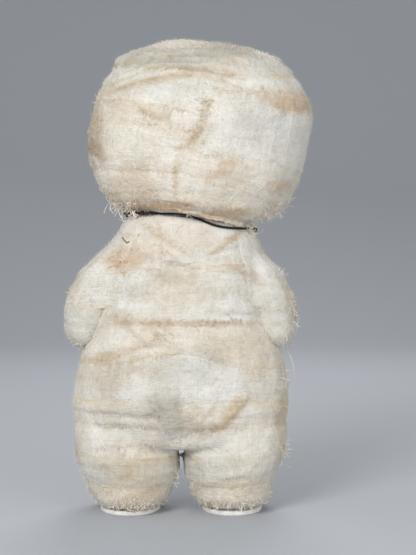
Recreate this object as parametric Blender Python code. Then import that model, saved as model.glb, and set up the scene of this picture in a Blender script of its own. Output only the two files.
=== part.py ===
"""Mummy doll: a stuffed cloth doll wrapped in strips of gauze, about 24 cm tall.

Run it with: blender --background --python part.py

Metres, +Z up. The photographed side faces -Y, and left and right are those of the photograph.
The doll is a stuffed head on a stuffed body with two stuffed arms. Each is modelled as the
form that its stuffing gives it, and every strip of gauze is laid over such a form, in layers,
the way it is wound round the real one. Angles round a form start at the front and grow
towards +X, so 90 degrees is the right side and 180 degrees the back.
"""

import math
from typing import NamedTuple

import bmesh
import bpy
from mathutils import Matrix, Vector

MM = 0.001

# Between two pieces that touch on the real doll.
GAP = 0.3 * MM

# Gauze strips lie in layers: each has an air gap below it and its own thickness.
STRIP_THICKNESS = 0.6 * MM
STRIP_AIR = 0.6 * MM
MOST_LAYERS = 3

# The origin lies under the middle of the doll's box, and the body stands a little left of it,
# because the head hangs over to the right.
BODY_X = -4.0 * MM

# Head: a rounded box, flatter below, with a flat seat that is sewn to the neck.
HEAD_HALF_WIDTH = 56.0 * MM
HEAD_HALF_DEPTH = 44.0 * MM
HEAD_HALF_HEIGHT = 46.0 * MM
HEAD_POWER_ABOVE = 2.4
HEAD_POWER_BELOW = 3.0
HEAD_POWER_PLAN = 2.3
HEAD_SEAT_CUT = 2.7 * MM
HEAD_SEAT_DROP = HEAD_HALF_HEIGHT - HEAD_SEAT_CUT
HEAD_ROLL = math.radians(6.0)
HEAD_LEAN = 0.07  # how far it leans over to the right, per length upwards

# Body: plan outlines from the crotch up to the neck.
PLAN_POWER = 2.3
CROTCH_HEIGHT = 33.0 * MM
HIP_HEIGHT = 56.0 * MM
HIP_HALF_WIDTH = 53.5 * MM
HIP_HALF_DEPTH = 29.0 * MM
BELLY_HEIGHT = 80.0 * MM
BELLY_HALF_WIDTH = 50.5 * MM
BELLY_HALF_DEPTH = 29.5 * MM
CHEST_HEIGHT = 108.0 * MM
CHEST_HALF_WIDTH = 38.5 * MM
CHEST_HALF_DEPTH = 28.0 * MM
NECK_HEIGHT = 151.5 * MM
SHOULDER_BELOW_NECK = 21.5 * MM
SHOULDER_HEIGHT = NECK_HEIGHT - SHOULDER_BELOW_NECK
SHOULDER_HALF_WIDTH = 37.5 * MM
SHOULDER_HALF_DEPTH = 25.5 * MM
NECK_HALF_WIDTH = 31.5 * MM
NECK_HALF_DEPTH = 24.5 * MM
NECK_OFFSET = 5.0 * MM

# Legs: stubby, drawn in towards the soles.
SOLE_SPREAD = 26.5 * MM
LEG_TOP_HEIGHT = 44.0 * MM
THIGH_HEIGHT = 30.0 * MM
THIGH_SPREAD = 28.4 * MM
THIGH_HALF_WIDTH = 25.2 * MM
THIGH_HALF_DEPTH = 24.0 * MM
CALF_HEIGHT = 15.0 * MM
CALF_HALF_WIDTH = 20.8 * MM
CALF_HALF_DEPTH = 23.5 * MM
ANKLE_HALF_WIDTH = 14.5 * MM
ANKLE_HALF_DEPTH = 19.5 * MM

# Soles: smooth oval discs with a rounded edge.
SOLE_THICKNESS = 2.5 * MM
SOLE_HALF_WIDTH = 15.6 * MM
SOLE_HALF_LENGTH = 21.0 * MM
SOLE_EDGE = 0.7 * MM
SOLE_POWER = 2.2

# Arms: flattened tubes sewn on at the shoulders, hanging against the sides.
ARM_ABOVE_SHOULDER = 10.0 * MM
ARM_LENGTH = 56.0 * MM
ARM_GAP = 0.5 * MM  # from the wrapped torso
ARM_TOP_HEIGHT = SHOULDER_HEIGHT + ARM_ABOVE_SHOULDER
ARM_BOTTOM_HEIGHT = ARM_TOP_HEIGHT - ARM_LENGTH
ARM_ROUND_BELOW = 10.5 * MM
ARM_ROUND_ABOVE = 27.0 * MM
HAND_ABOVE_TIP = 12.5 * MM
HAND_HEIGHT = ARM_BOTTOM_HEIGHT + HAND_ABOVE_TIP
HAND_HALF_WIDTH = 9.6 * MM
HAND_HALF_DEPTH = 13.5 * MM
HAND_REACH = 6.0 * MM
ELBOW_ABOVE_TIP = 29.5 * MM
ELBOW_HEIGHT = ARM_BOTTOM_HEIGHT + ELBOW_ABOVE_TIP
ELBOW_HALF_WIDTH = 10.0 * MM
ELBOW_HALF_DEPTH = 15.5 * MM
ELBOW_REACH = 8.6 * MM
UPPER_ARM_HEIGHT = SHOULDER_HEIGHT
UPPER_ARM_HALF_WIDTH = 10.0 * MM
UPPER_ARM_HALF_DEPTH = 18.0 * MM
UPPER_ARM_REACH = 0.0 * MM

# Where the strips lap over each other, by height, and how wide and slanting the others are.
STRIP_LAP = 4.0 * MM
YOKE_WIDTH = 13.0 * MM
YOKE_BELOW_NECK = 12.0 * MM
YOKE_RISE = 4.5 * MM
WAIST_LINE = 98.5 * MM
BELLY_LINE = 78.0 * MM
HIP_LINE = 57.5 * MM
HIP_BAND_WIDTH = 13.5 * MM
BAND_RISE = 1.5 * MM
FOOT_HEM = 2.6 * MM
KNEE_LINE = 17.5 * MM
THIGH_WRAP_WIDTH = 15.0 * MM
WRAP_RISE = 0.8 * MM
HAND_HEM = 4.5 * MM
SLEEVE_ABOVE_TIP = 23.5 * MM
SLEEVE_BELOW_TOP = 11.0 * MM

# Cord round the neck, held by three loops of thread.
CORD_RADIUS = 0.75 * MM
CORD_BELOW_SEAT = 3.6 * MM
THREAD_RADIUS = 0.3 * MM
KEEPER_ANGLES = {"left": -52.0, "middle": 0.0, "right": 58.0}


class Strip(NamedTuple):
    """One strip of gauze: where its edges lie across a form, and how it is wound.

    Edges are heights on the body and latitudes in degrees on the head. A strip that stops
    short of a whole turn has a start and a sweep. Rise is how far it climbs towards its high
    side, and the tilts, on the head only, lean the axis that it is wound round. Angles are
    in degrees.
    """

    name: str
    look: str
    low: float
    high: float
    layer: int = 0
    start: float = 180.0
    sweep: float = 360.0
    rise: float = 0.0
    high_side: float = 0.0
    side_tilt: float = 0.0
    front_tilt: float = 0.0
    over_crown: bool = False


HEAD_STRIPS = (
    Strip("crown_over_strip", "grey", -18.0, 18.0, start=120.0, sweep=120.0, over_crown=True),
    Strip("crown_turn_top", "cream", 50.0, 69.0, layer=1, side_tilt=2.0, front_tilt=4.0),
    Strip("crown_turn_low", "grey", 36.0, 54.0, layer=2, side_tilt=1.0, front_tilt=3.0),
    Strip("brow_band", "pale", 12.0, 40.0, layer=1, side_tilt=4.0, front_tilt=2.0),
    Strip("temple_strip_left", "cream", -9.0, 17.0, start=-166.0, sweep=148.0, side_tilt=3.0),
    Strip("temple_patch_right", "pale", -13.0, 26.0, layer=2, start=6.0, sweep=147.0),
    Strip("cheek_band", "cream", -31.0, -5.0, layer=1, side_tilt=5.0, front_tilt=-3.0),
    Strip("jaw_band", "warm", -48.0, -27.0, side_tilt=2.0),
    Strip("chin_strip", "brown", -50.5, -39.0, layer=1, start=-78.0, sweep=154.0),
)
YOKE_TOP = NECK_HEIGHT - YOKE_BELOW_NECK
YOKE_FOOT = YOKE_TOP - YOKE_WIDTH
HALF_LAP = STRIP_LAP / 2
BODY_STRIPS = (
    Strip("yoke_strip_left", "cream", YOKE_FOOT, YOKE_TOP,
          layer=1, rise=YOKE_RISE, high_side=-70.0),
    Strip("yoke_strip_right", "pale", YOKE_FOOT, YOKE_TOP,
          layer=2, rise=YOKE_RISE, high_side=65.0),
    Strip("chest_band", "pale", WAIST_LINE - HALF_LAP, YOKE_FOOT + HALF_LAP,
          rise=BAND_RISE, high_side=90.0),
    Strip("waist_band", "cream", BELLY_LINE - HALF_LAP, WAIST_LINE + HALF_LAP,
          layer=1, rise=BAND_RISE, high_side=-90.0),
    Strip("belly_band", "pale", HIP_LINE - HALF_LAP, BELLY_LINE + HALF_LAP,
          rise=BAND_RISE, high_side=90.0),
    Strip("hip_band", "warm", HIP_LINE + HALF_LAP - HIP_BAND_WIDTH, HIP_LINE + HALF_LAP,
          layer=1, rise=WRAP_RISE, high_side=-90.0),
)
LEG_BOTTOM = SOLE_THICKNESS + GAP
LEG_STRIPS = (
    Strip("thigh_wrap", "grey", KNEE_LINE - HALF_LAP, KNEE_LINE - HALF_LAP + THIGH_WRAP_WIDTH,
          layer=1, rise=WRAP_RISE, high_side=90.0),
    Strip("foot_wrap", "brown", LEG_BOTTOM + FOOT_HEM, KNEE_LINE + HALF_LAP,
          rise=WRAP_RISE, high_side=-90.0),
)
# An arm strip stops where the arm meets the torso.
SLEEVE_LINE = ARM_BOTTOM_HEIGHT + SLEEVE_ABOVE_TIP
ARM_STRIPS = (
    Strip("hand_wrap", "grey", ARM_BOTTOM_HEIGHT + HAND_HEM, SLEEVE_LINE + HALF_LAP,
          start=-95.0, sweep=190.0, rise=BAND_RISE),
    Strip("sleeve_wrap", "pale", SLEEVE_LINE - HALF_LAP, ARM_TOP_HEIGHT - SLEEVE_BELOW_TOP,
          layer=1, start=-85.0, sweep=170.0, rise=BAND_RISE),
)

# How finely the forms are faceted. A facet's sag stays below STRIP_AIR.
HEAD_SIDES = 32
HEAD_RINGS = 13
HEAD_LAST_RING = math.radians(86)
BODY_SIDES = 30
BODY_RING = 10.0 * MM
LEG_SIDES = 20
LEG_RING = 8.0 * MM
ARM_SIDES = 16
ARM_STRIP_SIDES = 24
ARM_RING = 9.0 * MM
SOLE_SIDES = 24
CORD_SIDES = 40
KEEPER_SIDES = 10
STRIP_ROW = 8.5 * MM

# Colours picked from the photograph, as sRGB.
CREAM = "#d8d0bf"
PALE = "#dcd8cd"
WARM = "#d6c6ab"
GREY = "#c9c3b7"
BROWN = "#bdae99"
COTTON = "#d9d2c5"
SOLE_WHITE = "#d6d3ce"
CORD_BLACK = "#1c1a19"
THREAD = "#cfc4b0"


def material(name, colour, roughness):
    """A Principled material of one sRGB colour."""
    made = bpy.data.materials.new(name)
    made.use_nodes = True
    channels = [int(colour[i : i + 2], 16) / 255 for i in (1, 3, 5)]
    linear = [c / 12.92 if c <= 0.04045 else ((c + 0.055) / 1.055) ** 2.4 for c in channels]
    shader = made.node_tree.nodes["Principled BSDF"]
    shader.inputs["Base Color"].default_value = (*linear, 1.0)
    shader.inputs["Roughness"].default_value = roughness
    shader.inputs["Metallic"].default_value = 0.0
    made.diffuse_color = (*linear, 1.0)
    return made


def outline_point(angle, half_width, half_depth, power):
    """The point of a plan outline, an ellipse drawn towards a box, at this angle from the front."""
    x, y = math.sin(angle), -math.cos(angle)
    reach = (abs(x / half_width) ** power + abs(y / half_depth) ** power) ** (-1 / power)
    return x * reach, y * reach


def blend(knots, height):
    """Each value of the knots at this height, along a smooth curve through them."""
    if height <= knots[0][0]:
        return knots[0][1:]
    if height >= knots[-1][0]:
        return knots[-1][1:]
    at = max(i for i in range(len(knots) - 1) if knots[i][0] <= height)
    low, high = knots[at], knots[at + 1]
    before, after = knots[max(at - 1, 0)], knots[min(at + 2, len(knots) - 1)]
    span = high[0] - low[0]
    t = (height - low[0]) / span
    values = []
    for k in range(1, len(low)):
        leaving = span * (high[k] - before[k]) / (high[0] - before[0])
        arriving = span * (after[k] - low[k]) / (after[0] - low[0])
        values.append(
            low[k] * (2 * t**3 - 3 * t**2 + 1)
            + leaving * (t**3 - 2 * t**2 + t)
            + high[k] * (3 * t**2 - 2 * t**3)
            + arriving * (t**3 - t**2)
        )
    return values


class Column:
    """An upright stuffed form: plan outlines stacked along Z.

    A knot holds height, centre x, half width and half depth. An end can be rounded off over
    some height, and the top can tilt with whatever is sewn to it.
    """

    END_ANGLES = [math.radians(a) for a in (14, 34, 56)]

    def __init__(self, knots, bottom, top, round_below=0.0, round_above=0.0, round_power=2.5,
                 tilt=None):
        self.knots, self.bottom, self.top = knots, bottom, top
        self.round_below, self.round_above = round_below, round_above
        self.round_power, self.tilt = round_power, tilt

    def fullness(self, height):
        """How full the outline is here: below 1 where an end is rounded off."""
        into = 0.0
        if self.round_below and height < self.bottom + self.round_below:
            into = (self.bottom + self.round_below - height) / self.round_below
        elif self.round_above and height > self.top - self.round_above:
            into = (height - self.top + self.round_above) / self.round_above
        into = min(into, 0.999)
        return (1 - into**self.round_power) ** (1 / self.round_power)

    def point(self, angle, height):
        centre, half_width, half_depth = blend(self.knots, height)
        full = self.fullness(height)
        x, y = outline_point(angle, half_width * full, half_depth * full, PLAN_POWER)
        lift = 0.0
        if self.tilt:
            start, slope = self.tilt
            share = min(max((height - start) / (self.top - start), 0.0), 1.0)
            lift = -slope * share * share * (3 - 2 * share) * x
        return Vector((centre + x, y, height + lift))

    def side(self, height):
        """How far the form reaches sideways from its centre at this height."""
        return blend(self.knots, height)[1] * self.fullness(height)

    def levels(self, spacing):
        """Heights of its rings, closer together where an end is rounded off."""
        power = 2 / self.round_power
        low, high = self.bottom, self.top
        found = []
        if self.round_below:
            low = self.bottom + self.round_below
            found = [low - self.round_below * math.cos(a) ** power for a in self.END_ANGLES]
        if self.round_above:
            high = self.top - self.round_above
        steps = max(1, round((high - low) / spacing))
        found += [low + (high - low) * i / steps for i in range(steps + 1)]
        if self.round_above:
            found += [
                high + self.round_above * math.cos(a) ** power for a in reversed(self.END_ANGLES)
            ]
        return found


class Head:
    """The head's form in its own frame, with its middle at the origin and its seat below."""

    @staticmethod
    def reach(direction):
        """How far the surface lies from the middle along a direction."""
        power = HEAD_POWER_ABOVE if direction.z > 0 else HEAD_POWER_BELOW
        plan = (
            abs(direction.x / HEAD_HALF_WIDTH) ** HEAD_POWER_PLAN
            + abs(direction.y / HEAD_HALF_DEPTH) ** HEAD_POWER_PLAN
        ) ** (1 / HEAD_POWER_PLAN)
        return (plan**power + abs(direction.z / HEAD_HALF_HEIGHT) ** power) ** (-1 / power)

    def __init__(self, strip):
        """A strip is wound round the upright axis, leant by its tilts, or over the crown."""
        self.turn = Matrix.Rotation(math.radians(strip.side_tilt), 3, "Y")
        self.turn @= Matrix.Rotation(math.radians(strip.front_tilt), 3, "X")
        if strip.over_crown:
            self.turn @= Matrix.Rotation(math.radians(90), 3, "X")

    def point(self, angle, latitude):
        """The surface at an angle round the axis and a latitude from the ring across it."""
        flat = math.cos(latitude)
        direction = self.turn @ Vector(
            (flat * math.sin(angle), -flat * math.cos(angle), math.sin(latitude))
        )
        point = direction * self.reach(direction)
        point.x += HEAD_LEAN * point.z
        return point


def normal_at(form, u, v, step=1e-4):
    """The direction straight out of a form, from its slopes along and across."""
    along = form.point(u + step, v) - form.point(u - step, v)
    across = form.point(u, v + step) - form.point(u, v - step)
    return along.cross(across).normalized()


def mesh_object(name, mesh_maker, look, parent=None):
    """A mesh object, its faces turned outwards, under its parent."""
    made = bmesh.new()
    mesh_maker(made)
    bmesh.ops.recalc_face_normals(made, faces=made.faces)
    mesh = bpy.data.meshes.new(name)
    made.to_mesh(mesh)
    made.free()
    mesh.materials.append(look)
    obj = bpy.data.objects.new(name, mesh)
    bpy.context.scene.collection.objects.link(obj)
    obj.parent = parent
    return obj


def stack_of_rings(rings):
    """A closed mesh through rings of points, with a flat face at each end."""

    def fill(mesh):
        loops = [[mesh.verts.new(point) for point in ring] for ring in rings]
        for low, high in zip(loops, loops[1:]):
            for i in range(len(low)):
                j = (i + 1) % len(low)
                mesh.faces.new((low[i], low[j], high[j], high[i]))
        mesh.faces.new(reversed(loops[0]))
        mesh.faces.new(loops[-1])

    return fill


def column_rings(form, sides, spacing, swell=0.0):
    """Rings of points over a column, moved out by swell."""
    rings = []
    for height in form.levels(spacing):
        angles = [2 * math.pi * i / sides for i in range(sides)]
        ring = [form.point(angle, height) for angle in angles]
        if swell:
            ring = [p + normal_at(form, a, height) * swell for p, a in zip(ring, angles)]
        rings.append(ring)
    return rings


def gauze_strip(strip, form, sides, looks, parent, facing=0.0, suffix="", unit=1.0):
    """A strip of gauze laid over a form, as a thin closed solid. A whole turn closes on itself.

    Facing turns its angles round the form, and unit turns its edges into the form's own.
    """
    closed = strip.sweep >= 360.0
    steps = max(2, round(sides * strip.sweep / 360.0))
    columns = steps if closed else steps + 1
    low, high = strip.low * unit, strip.high * unit
    reach = (form.point(0.0, high) - form.point(0.0, low)).length
    rows = max(1, math.ceil(reach / STRIP_ROW))
    inner_lift = STRIP_AIR + strip.layer * (STRIP_AIR + STRIP_THICKNESS)

    def skins():
        for lift in (inner_lift, inner_lift + STRIP_THICKNESS):
            skin = []
            for i in range(columns):
                angle = math.radians(facing + strip.start + strip.sweep * i / steps)
                climb = strip.rise * math.cos(angle - math.radians(facing + strip.high_side))
                line = []
                for j in range(rows + 1):
                    across = low + (high - low) * j / rows + climb
                    line.append(form.point(angle, across) + normal_at(form, angle, across) * lift)
                skin.append(line)
            yield skin

    def fill(mesh):
        under, over = [[[mesh.verts.new(p) for p in line] for line in skin] for skin in skins()]
        for i in range(columns if closed else columns - 1):
            k = (i + 1) % columns
            for j in range(rows):
                mesh.faces.new((over[i][j], over[k][j], over[k][j + 1], over[i][j + 1]))
                mesh.faces.new((under[i][j + 1], under[k][j + 1], under[k][j], under[i][j]))
            mesh.faces.new((under[i][0], under[k][0], over[k][0], over[i][0]))
            mesh.faces.new((over[i][-1], over[k][-1], under[k][-1], under[i][-1]))
        if not closed:
            for i, end in ((0, 1), (columns - 1, -1)):
                for j in range(rows):
                    face = (under[i][j], over[i][j], over[i][j + 1], under[i][j + 1])
                    mesh.faces.new(face[::end])

    return mesh_object(strip.name + suffix, fill, looks[strip.look], parent)


def thread_ring(name, points, radius, look, parent):
    """A closed ring of cord or thread through these points."""
    curve = bpy.data.curves.new(name, "CURVE")
    curve.dimensions = "3D"
    curve.bevel_depth = radius
    curve.bevel_resolution = 1
    spline = curve.splines.new("POLY")
    spline.points.add(len(points) - 1)
    for place, point in zip(spline.points, points):
        place.co = (*point, 1.0)
    spline.use_cyclic_u = True
    curve.materials.append(look)
    obj = bpy.data.objects.new(name, curve)
    bpy.context.scene.collection.objects.link(obj)
    obj.parent = parent
    return obj


def boolean(target, operation, cutter):
    """Join or cut with another mesh. The cutter is deleted once the result is kept."""
    modifier = target.modifiers.new(operation.title(), "BOOLEAN")
    modifier.operation = operation
    modifier.solver = "EXACT"
    modifier.object = cutter
    bpy.context.view_layer.update()
    graph = bpy.context.evaluated_depsgraph_get()
    result = bpy.data.meshes.new_from_object(target.evaluated_get(graph))
    target.modifiers.remove(modifier)
    target.data = result
    bpy.data.objects.remove(cutter)


def body_form():
    """The torso, from the crotch to the neck. Its top tilts with the head that is sewn to it."""
    knots = [
        (CROTCH_HEIGHT, 0.0, HIP_HALF_WIDTH, HIP_HALF_DEPTH),
        (HIP_HEIGHT, 0.0, HIP_HALF_WIDTH, HIP_HALF_DEPTH),
        (BELLY_HEIGHT, 0.0, BELLY_HALF_WIDTH, BELLY_HALF_DEPTH),
        (CHEST_HEIGHT, 0.0, CHEST_HALF_WIDTH, CHEST_HALF_DEPTH),
        (SHOULDER_HEIGHT, NECK_OFFSET / 3, SHOULDER_HALF_WIDTH, SHOULDER_HALF_DEPTH),
        (NECK_HEIGHT, NECK_OFFSET, NECK_HALF_WIDTH, NECK_HALF_DEPTH),
    ]
    return Column(
        knots,
        CROTCH_HEIGHT,
        NECK_HEIGHT,
        round_below=HIP_HEIGHT - CROTCH_HEIGHT,
        round_power=4.0,
        tilt=(SHOULDER_HEIGHT, math.tan(HEAD_ROLL)),
    )


def leg_form(side):
    """One leg, from just above its sole to inside the torso. Side is -1 for left, 1 for right."""
    knots = [
        (LEG_BOTTOM, side * SOLE_SPREAD, ANKLE_HALF_WIDTH, ANKLE_HALF_DEPTH),
        (CALF_HEIGHT, side * SOLE_SPREAD, CALF_HALF_WIDTH, CALF_HALF_DEPTH),
        (THIGH_HEIGHT, side * THIGH_SPREAD, THIGH_HALF_WIDTH, THIGH_HALF_DEPTH),
        (LEG_TOP_HEIGHT, side * THIGH_SPREAD, THIGH_HALF_WIDTH, THIGH_HALF_DEPTH),
    ]
    return Column(knots, LEG_BOTTOM, LEG_TOP_HEIGHT)


def arm_form(side, body):
    """One arm, hanging against the torso and reaching out from its side."""

    def centre(height, reach):
        return side * (body.side(height) + reach)

    knots = [
        (HAND_HEIGHT, centre(HAND_HEIGHT, HAND_REACH), HAND_HALF_WIDTH, HAND_HALF_DEPTH),
        (ELBOW_HEIGHT, centre(ELBOW_HEIGHT, ELBOW_REACH), ELBOW_HALF_WIDTH, ELBOW_HALF_DEPTH),
        (
            UPPER_ARM_HEIGHT,
            centre(UPPER_ARM_HEIGHT, UPPER_ARM_REACH),
            UPPER_ARM_HALF_WIDTH,
            UPPER_ARM_HALF_DEPTH,
        ),
    ]
    return Column(
        knots,
        ARM_BOTTOM_HEIGHT,
        ARM_TOP_HEIGHT,
        round_below=ARM_ROUND_BELOW,
        round_above=ARM_ROUND_ABOVE,
    )


def make_head(looks, root):
    """The stuffed head, with its flat seat on the neck, and the frame that its strips share."""
    start = math.asin((HEAD_SEAT_DROP / HEAD_HALF_HEIGHT) ** (HEAD_POWER_BELOW / 2))
    rings = []
    for k in range(HEAD_RINGS):
        bend = -start + (start + HEAD_LAST_RING) * k / (HEAD_RINGS - 1)
        power = 2 / (HEAD_POWER_ABOVE if bend > 0 else HEAD_POWER_BELOW)
        height = math.copysign(HEAD_HALF_HEIGHT * abs(math.sin(bend)) ** power, bend)
        full = math.cos(bend) ** power
        ring = []
        for i in range(HEAD_SIDES):
            x, y = outline_point(
                2 * math.pi * i / HEAD_SIDES,
                HEAD_HALF_WIDTH * full,
                HEAD_HALF_DEPTH * full,
                HEAD_POWER_PLAN,
            )
            ring.append(Vector((x + HEAD_LEAN * height, y, height)))
        rings.append(ring)
    head = mesh_object("head_stuffed", stack_of_rings(rings), looks["cotton"], root)
    axis = Vector((math.sin(HEAD_ROLL), 0.0, math.cos(HEAD_ROLL)))
    head.location = Vector((NECK_OFFSET, 0.0, NECK_HEIGHT)) + axis * (HEAD_SEAT_DROP + GAP)
    head.rotation_euler = (0.0, HEAD_ROLL, 0.0)
    return head


def make_body(looks, root, body):
    """Torso and legs, sewn and stuffed as one."""
    torso = mesh_object(
        "body_stuffed",
        stack_of_rings(column_rings(body, BODY_SIDES, BODY_RING)),
        looks["cotton"],
        root,
    )
    for side in (-1, 1):
        rings = column_rings(leg_form(side), LEG_SIDES, LEG_RING)
        boolean(torso, "UNION", mesh_object("leg", stack_of_rings(rings), looks["cotton"], root))
    return torso


def make_sole(looks, root, side, label):
    """An oval disc with a rounded edge. The doll stands on its flat underside."""
    levels = (
        (0.0, SOLE_EDGE),
        (SOLE_EDGE, 0.0),
        (SOLE_THICKNESS - SOLE_EDGE, 0.0),
        (SOLE_THICKNESS, SOLE_EDGE),
    )
    rings = []
    for height, inset in levels:
        ring = []
        for i in range(SOLE_SIDES):
            x, y = outline_point(
                2 * math.pi * i / SOLE_SIDES,
                SOLE_HALF_WIDTH - inset,
                SOLE_HALF_LENGTH - inset,
                SOLE_POWER,
            )
            ring.append(Vector((x, y, height)))
        rings.append(ring)
    sole = mesh_object(f"sole_{label}", stack_of_rings(rings), looks["sole"], root)
    sole.location = (side * SOLE_SPREAD, 0.0, 0.0)


def make_arm(looks, torso, body, side, label):
    """A stuffed arm, shaped on its inner side by the wrapped torso it lies against."""
    form = arm_form(side, body)
    arm = mesh_object(
        f"arm_{label}",
        stack_of_rings(column_rings(form, ARM_SIDES, ARM_RING)),
        looks["cotton"],
        torso,
    )
    clearance = MOST_LAYERS * (STRIP_AIR + STRIP_THICKNESS) + ARM_GAP
    rings = column_rings(body, BODY_SIDES, BODY_RING, clearance)
    boolean(arm, "DIFFERENCE", mesh_object("cutter", stack_of_rings(rings), looks["cotton"], torso))
    for strip in ARM_STRIPS:
        gauze_strip(strip, form, ARM_STRIP_SIDES, looks, torso, side * 90.0, f"_{label}")


def make_cord(looks, torso, body):
    """The black cord round the neck, and the thread loops that hold it."""
    height = NECK_HEIGHT - CORD_BELOW_SEAT
    stand_off = GAP + 2 * THREAD_RADIUS + GAP + CORD_RADIUS

    def route(angle):
        return body.point(angle, height) + normal_at(body, angle, height) * stand_off

    points = [route(2 * math.pi * i / CORD_SIDES) for i in range(CORD_SIDES)]
    thread_ring("neck_cord", points, CORD_RADIUS, looks["cord"], torso)
    loop = CORD_RADIUS + GAP + THREAD_RADIUS
    for label, degrees in KEEPER_ANGLES.items():
        angle = math.radians(degrees)
        out = normal_at(body, angle, height)
        along = (route(angle + 0.01) - route(angle - 0.01)).normalized()
        up = along.cross(out)
        turns = [2 * math.pi * i / KEEPER_SIDES for i in range(KEEPER_SIDES)]
        ring = [route(angle) + (out * math.cos(t) + up * math.sin(t)) * loop for t in turns]
        thread_ring(f"keeper_{label}", ring, THREAD_RADIUS, looks["thread"], torso)


def main():
    for obj in list(bpy.data.objects):
        bpy.data.objects.remove(obj)
    looks = {
        "cream": material("gauze_cream", CREAM, 0.9),
        "pale": material("gauze_pale", PALE, 0.9),
        "warm": material("gauze_warm", WARM, 0.9),
        "grey": material("gauze_grey", GREY, 0.9),
        "brown": material("gauze_brown", BROWN, 0.9),
        "cotton": material("stuffed_cotton", COTTON, 0.9),
        "sole": material("sole_felt", SOLE_WHITE, 0.7),
        "cord": material("black_cord", CORD_BLACK, 0.6),
        "thread": material("thread", THREAD, 0.85),
    }
    root = bpy.data.objects.new("doll", None)
    root.location = (BODY_X, 0.0, 0.0)
    bpy.context.scene.collection.objects.link(root)

    body = body_form()
    torso = make_body(looks, root, body)
    for strip in BODY_STRIPS:
        gauze_strip(strip, body, BODY_SIDES, looks, torso)
    for side, label in ((-1, "left"), (1, "right")):
        make_sole(looks, root, side, label)
        make_arm(looks, torso, body, side, label)
        for strip in LEG_STRIPS:
            facing = 0.0 if side > 0 else 180.0
            gauze_strip(strip, leg_form(side), LEG_SIDES, looks, torso, facing, f"_{label}")
    head = make_head(looks, root)
    for strip in HEAD_STRIPS:
        gauze_strip(strip, Head(strip), HEAD_SIDES, looks, head, unit=math.radians(1))
    make_cord(looks, torso, body)


main()
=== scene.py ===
# %% [markdown]
# # A mummy doll, wound in gauze
#
# This lesson dresses a stuffed cloth doll for its picture. The doll is about 24 cm tall: a big
# round head on a stubby body, wound all over in strips of stained gauze, with a thin black cord
# round its neck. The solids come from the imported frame. Here each is remade in its real material.
#
# The frame is loaded first. Everything below is in its metres, with +Z up and the photographed
# side facing -Y. The doll's marks are placed as the camera sees them, so two functions go from
# a point to where it is seen, and back.

# %% Load the frame
import math
import random
from typing import NamedTuple

import bmesh
import bpy
from mathutils import Matrix, Vector, noise
from mathutils.bvhtree import BVHTree


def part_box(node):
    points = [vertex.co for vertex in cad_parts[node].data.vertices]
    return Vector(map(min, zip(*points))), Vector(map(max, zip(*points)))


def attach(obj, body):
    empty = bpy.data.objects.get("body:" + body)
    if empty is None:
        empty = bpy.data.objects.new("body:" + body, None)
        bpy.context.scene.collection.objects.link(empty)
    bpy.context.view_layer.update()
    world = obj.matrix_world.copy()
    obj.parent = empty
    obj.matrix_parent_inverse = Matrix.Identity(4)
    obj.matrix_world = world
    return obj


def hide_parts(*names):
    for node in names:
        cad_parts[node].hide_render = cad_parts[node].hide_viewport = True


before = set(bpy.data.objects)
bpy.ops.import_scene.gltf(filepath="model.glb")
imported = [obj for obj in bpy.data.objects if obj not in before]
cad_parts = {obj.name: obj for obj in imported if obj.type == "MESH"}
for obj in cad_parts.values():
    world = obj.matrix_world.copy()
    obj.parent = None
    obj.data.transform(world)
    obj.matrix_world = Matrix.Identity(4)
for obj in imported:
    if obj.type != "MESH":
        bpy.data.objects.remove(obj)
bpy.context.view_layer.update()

MM = 0.001
BODY = "root"
UP = Vector((0.0, 0.0, 1.0))
EYE = Vector((10 * MM, -760 * MM, 156 * MM))
AIM = Vector((10 * MM, 0.0, 121 * MM))
SIGHT = (AIM - EYE).normalized()
RIGHTWARD = Vector((1.0, 0.0, 0.0))
UPWARD = RIGHTWARD.cross(SIGHT)
print("frame loaded:", len(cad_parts), "nodes")


def as_seen(place):
    """Where the camera sees a point: how far right and up, in mm at the doll's distance."""
    off = place - EYE
    scale = (AIM - EYE).length / off.dot(SIGHT)
    return (AIM.x + off.x * scale) / MM, (AIM.z + off.dot(UPWARD) * scale) / MM


def meet(tree, x, z):
    """The surface point that the camera sees there, with its normal. The way back of as_seen."""
    spot = AIM + RIGHTWARD * (x * MM - AIM.x) + UPWARD * (z * MM - AIM.z)
    return tree.ray_cast(EYE, (spot - EYE).normalized())[:2]


# %% [markdown]
# ## Two helpers
#
# Hex colours are written as a picture shows them, in sRGB. Blender's shaders want linear light,
# so one function turns a hex value into what a socket needs. A second one adds a node to a tree
# with its settings, values and links in one line, for shaders and for Geometry Nodes alike. Where
# it is given a node, it links that node's first output.

# %% Colour and node helpers
def colour(hex_value):
    """An sRGB hex colour as linear RGBA."""
    channels = [int(hex_value[i : i + 2], 16) / 255 for i in (1, 3, 5)]
    linear = [c / 12.92 if c <= 0.04045 else ((c + 0.055) / 1.055) ** 2.4 for c in channels]
    return (*linear, 1.0)


def node(tree, kind, inputs=None, **settings):
    """Adds a node, sets its settings, and fills its inputs with values, links or nodes."""
    made = tree.nodes.new(kind)
    for key, value in settings.items():
        setattr(made, key, value)
    for key, value in (inputs or {}).items():
        if isinstance(value, bpy.types.Node):
            value = value.outputs[0]
        if isinstance(value, bpy.types.NodeSocket):
            tree.links.new(value, made.inputs[key])
        else:
            made.inputs[key].default_value = value
    return made


print("cream in linear light:", [round(c, 3) for c in colour("#dcd5c7")[:3]])

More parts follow.
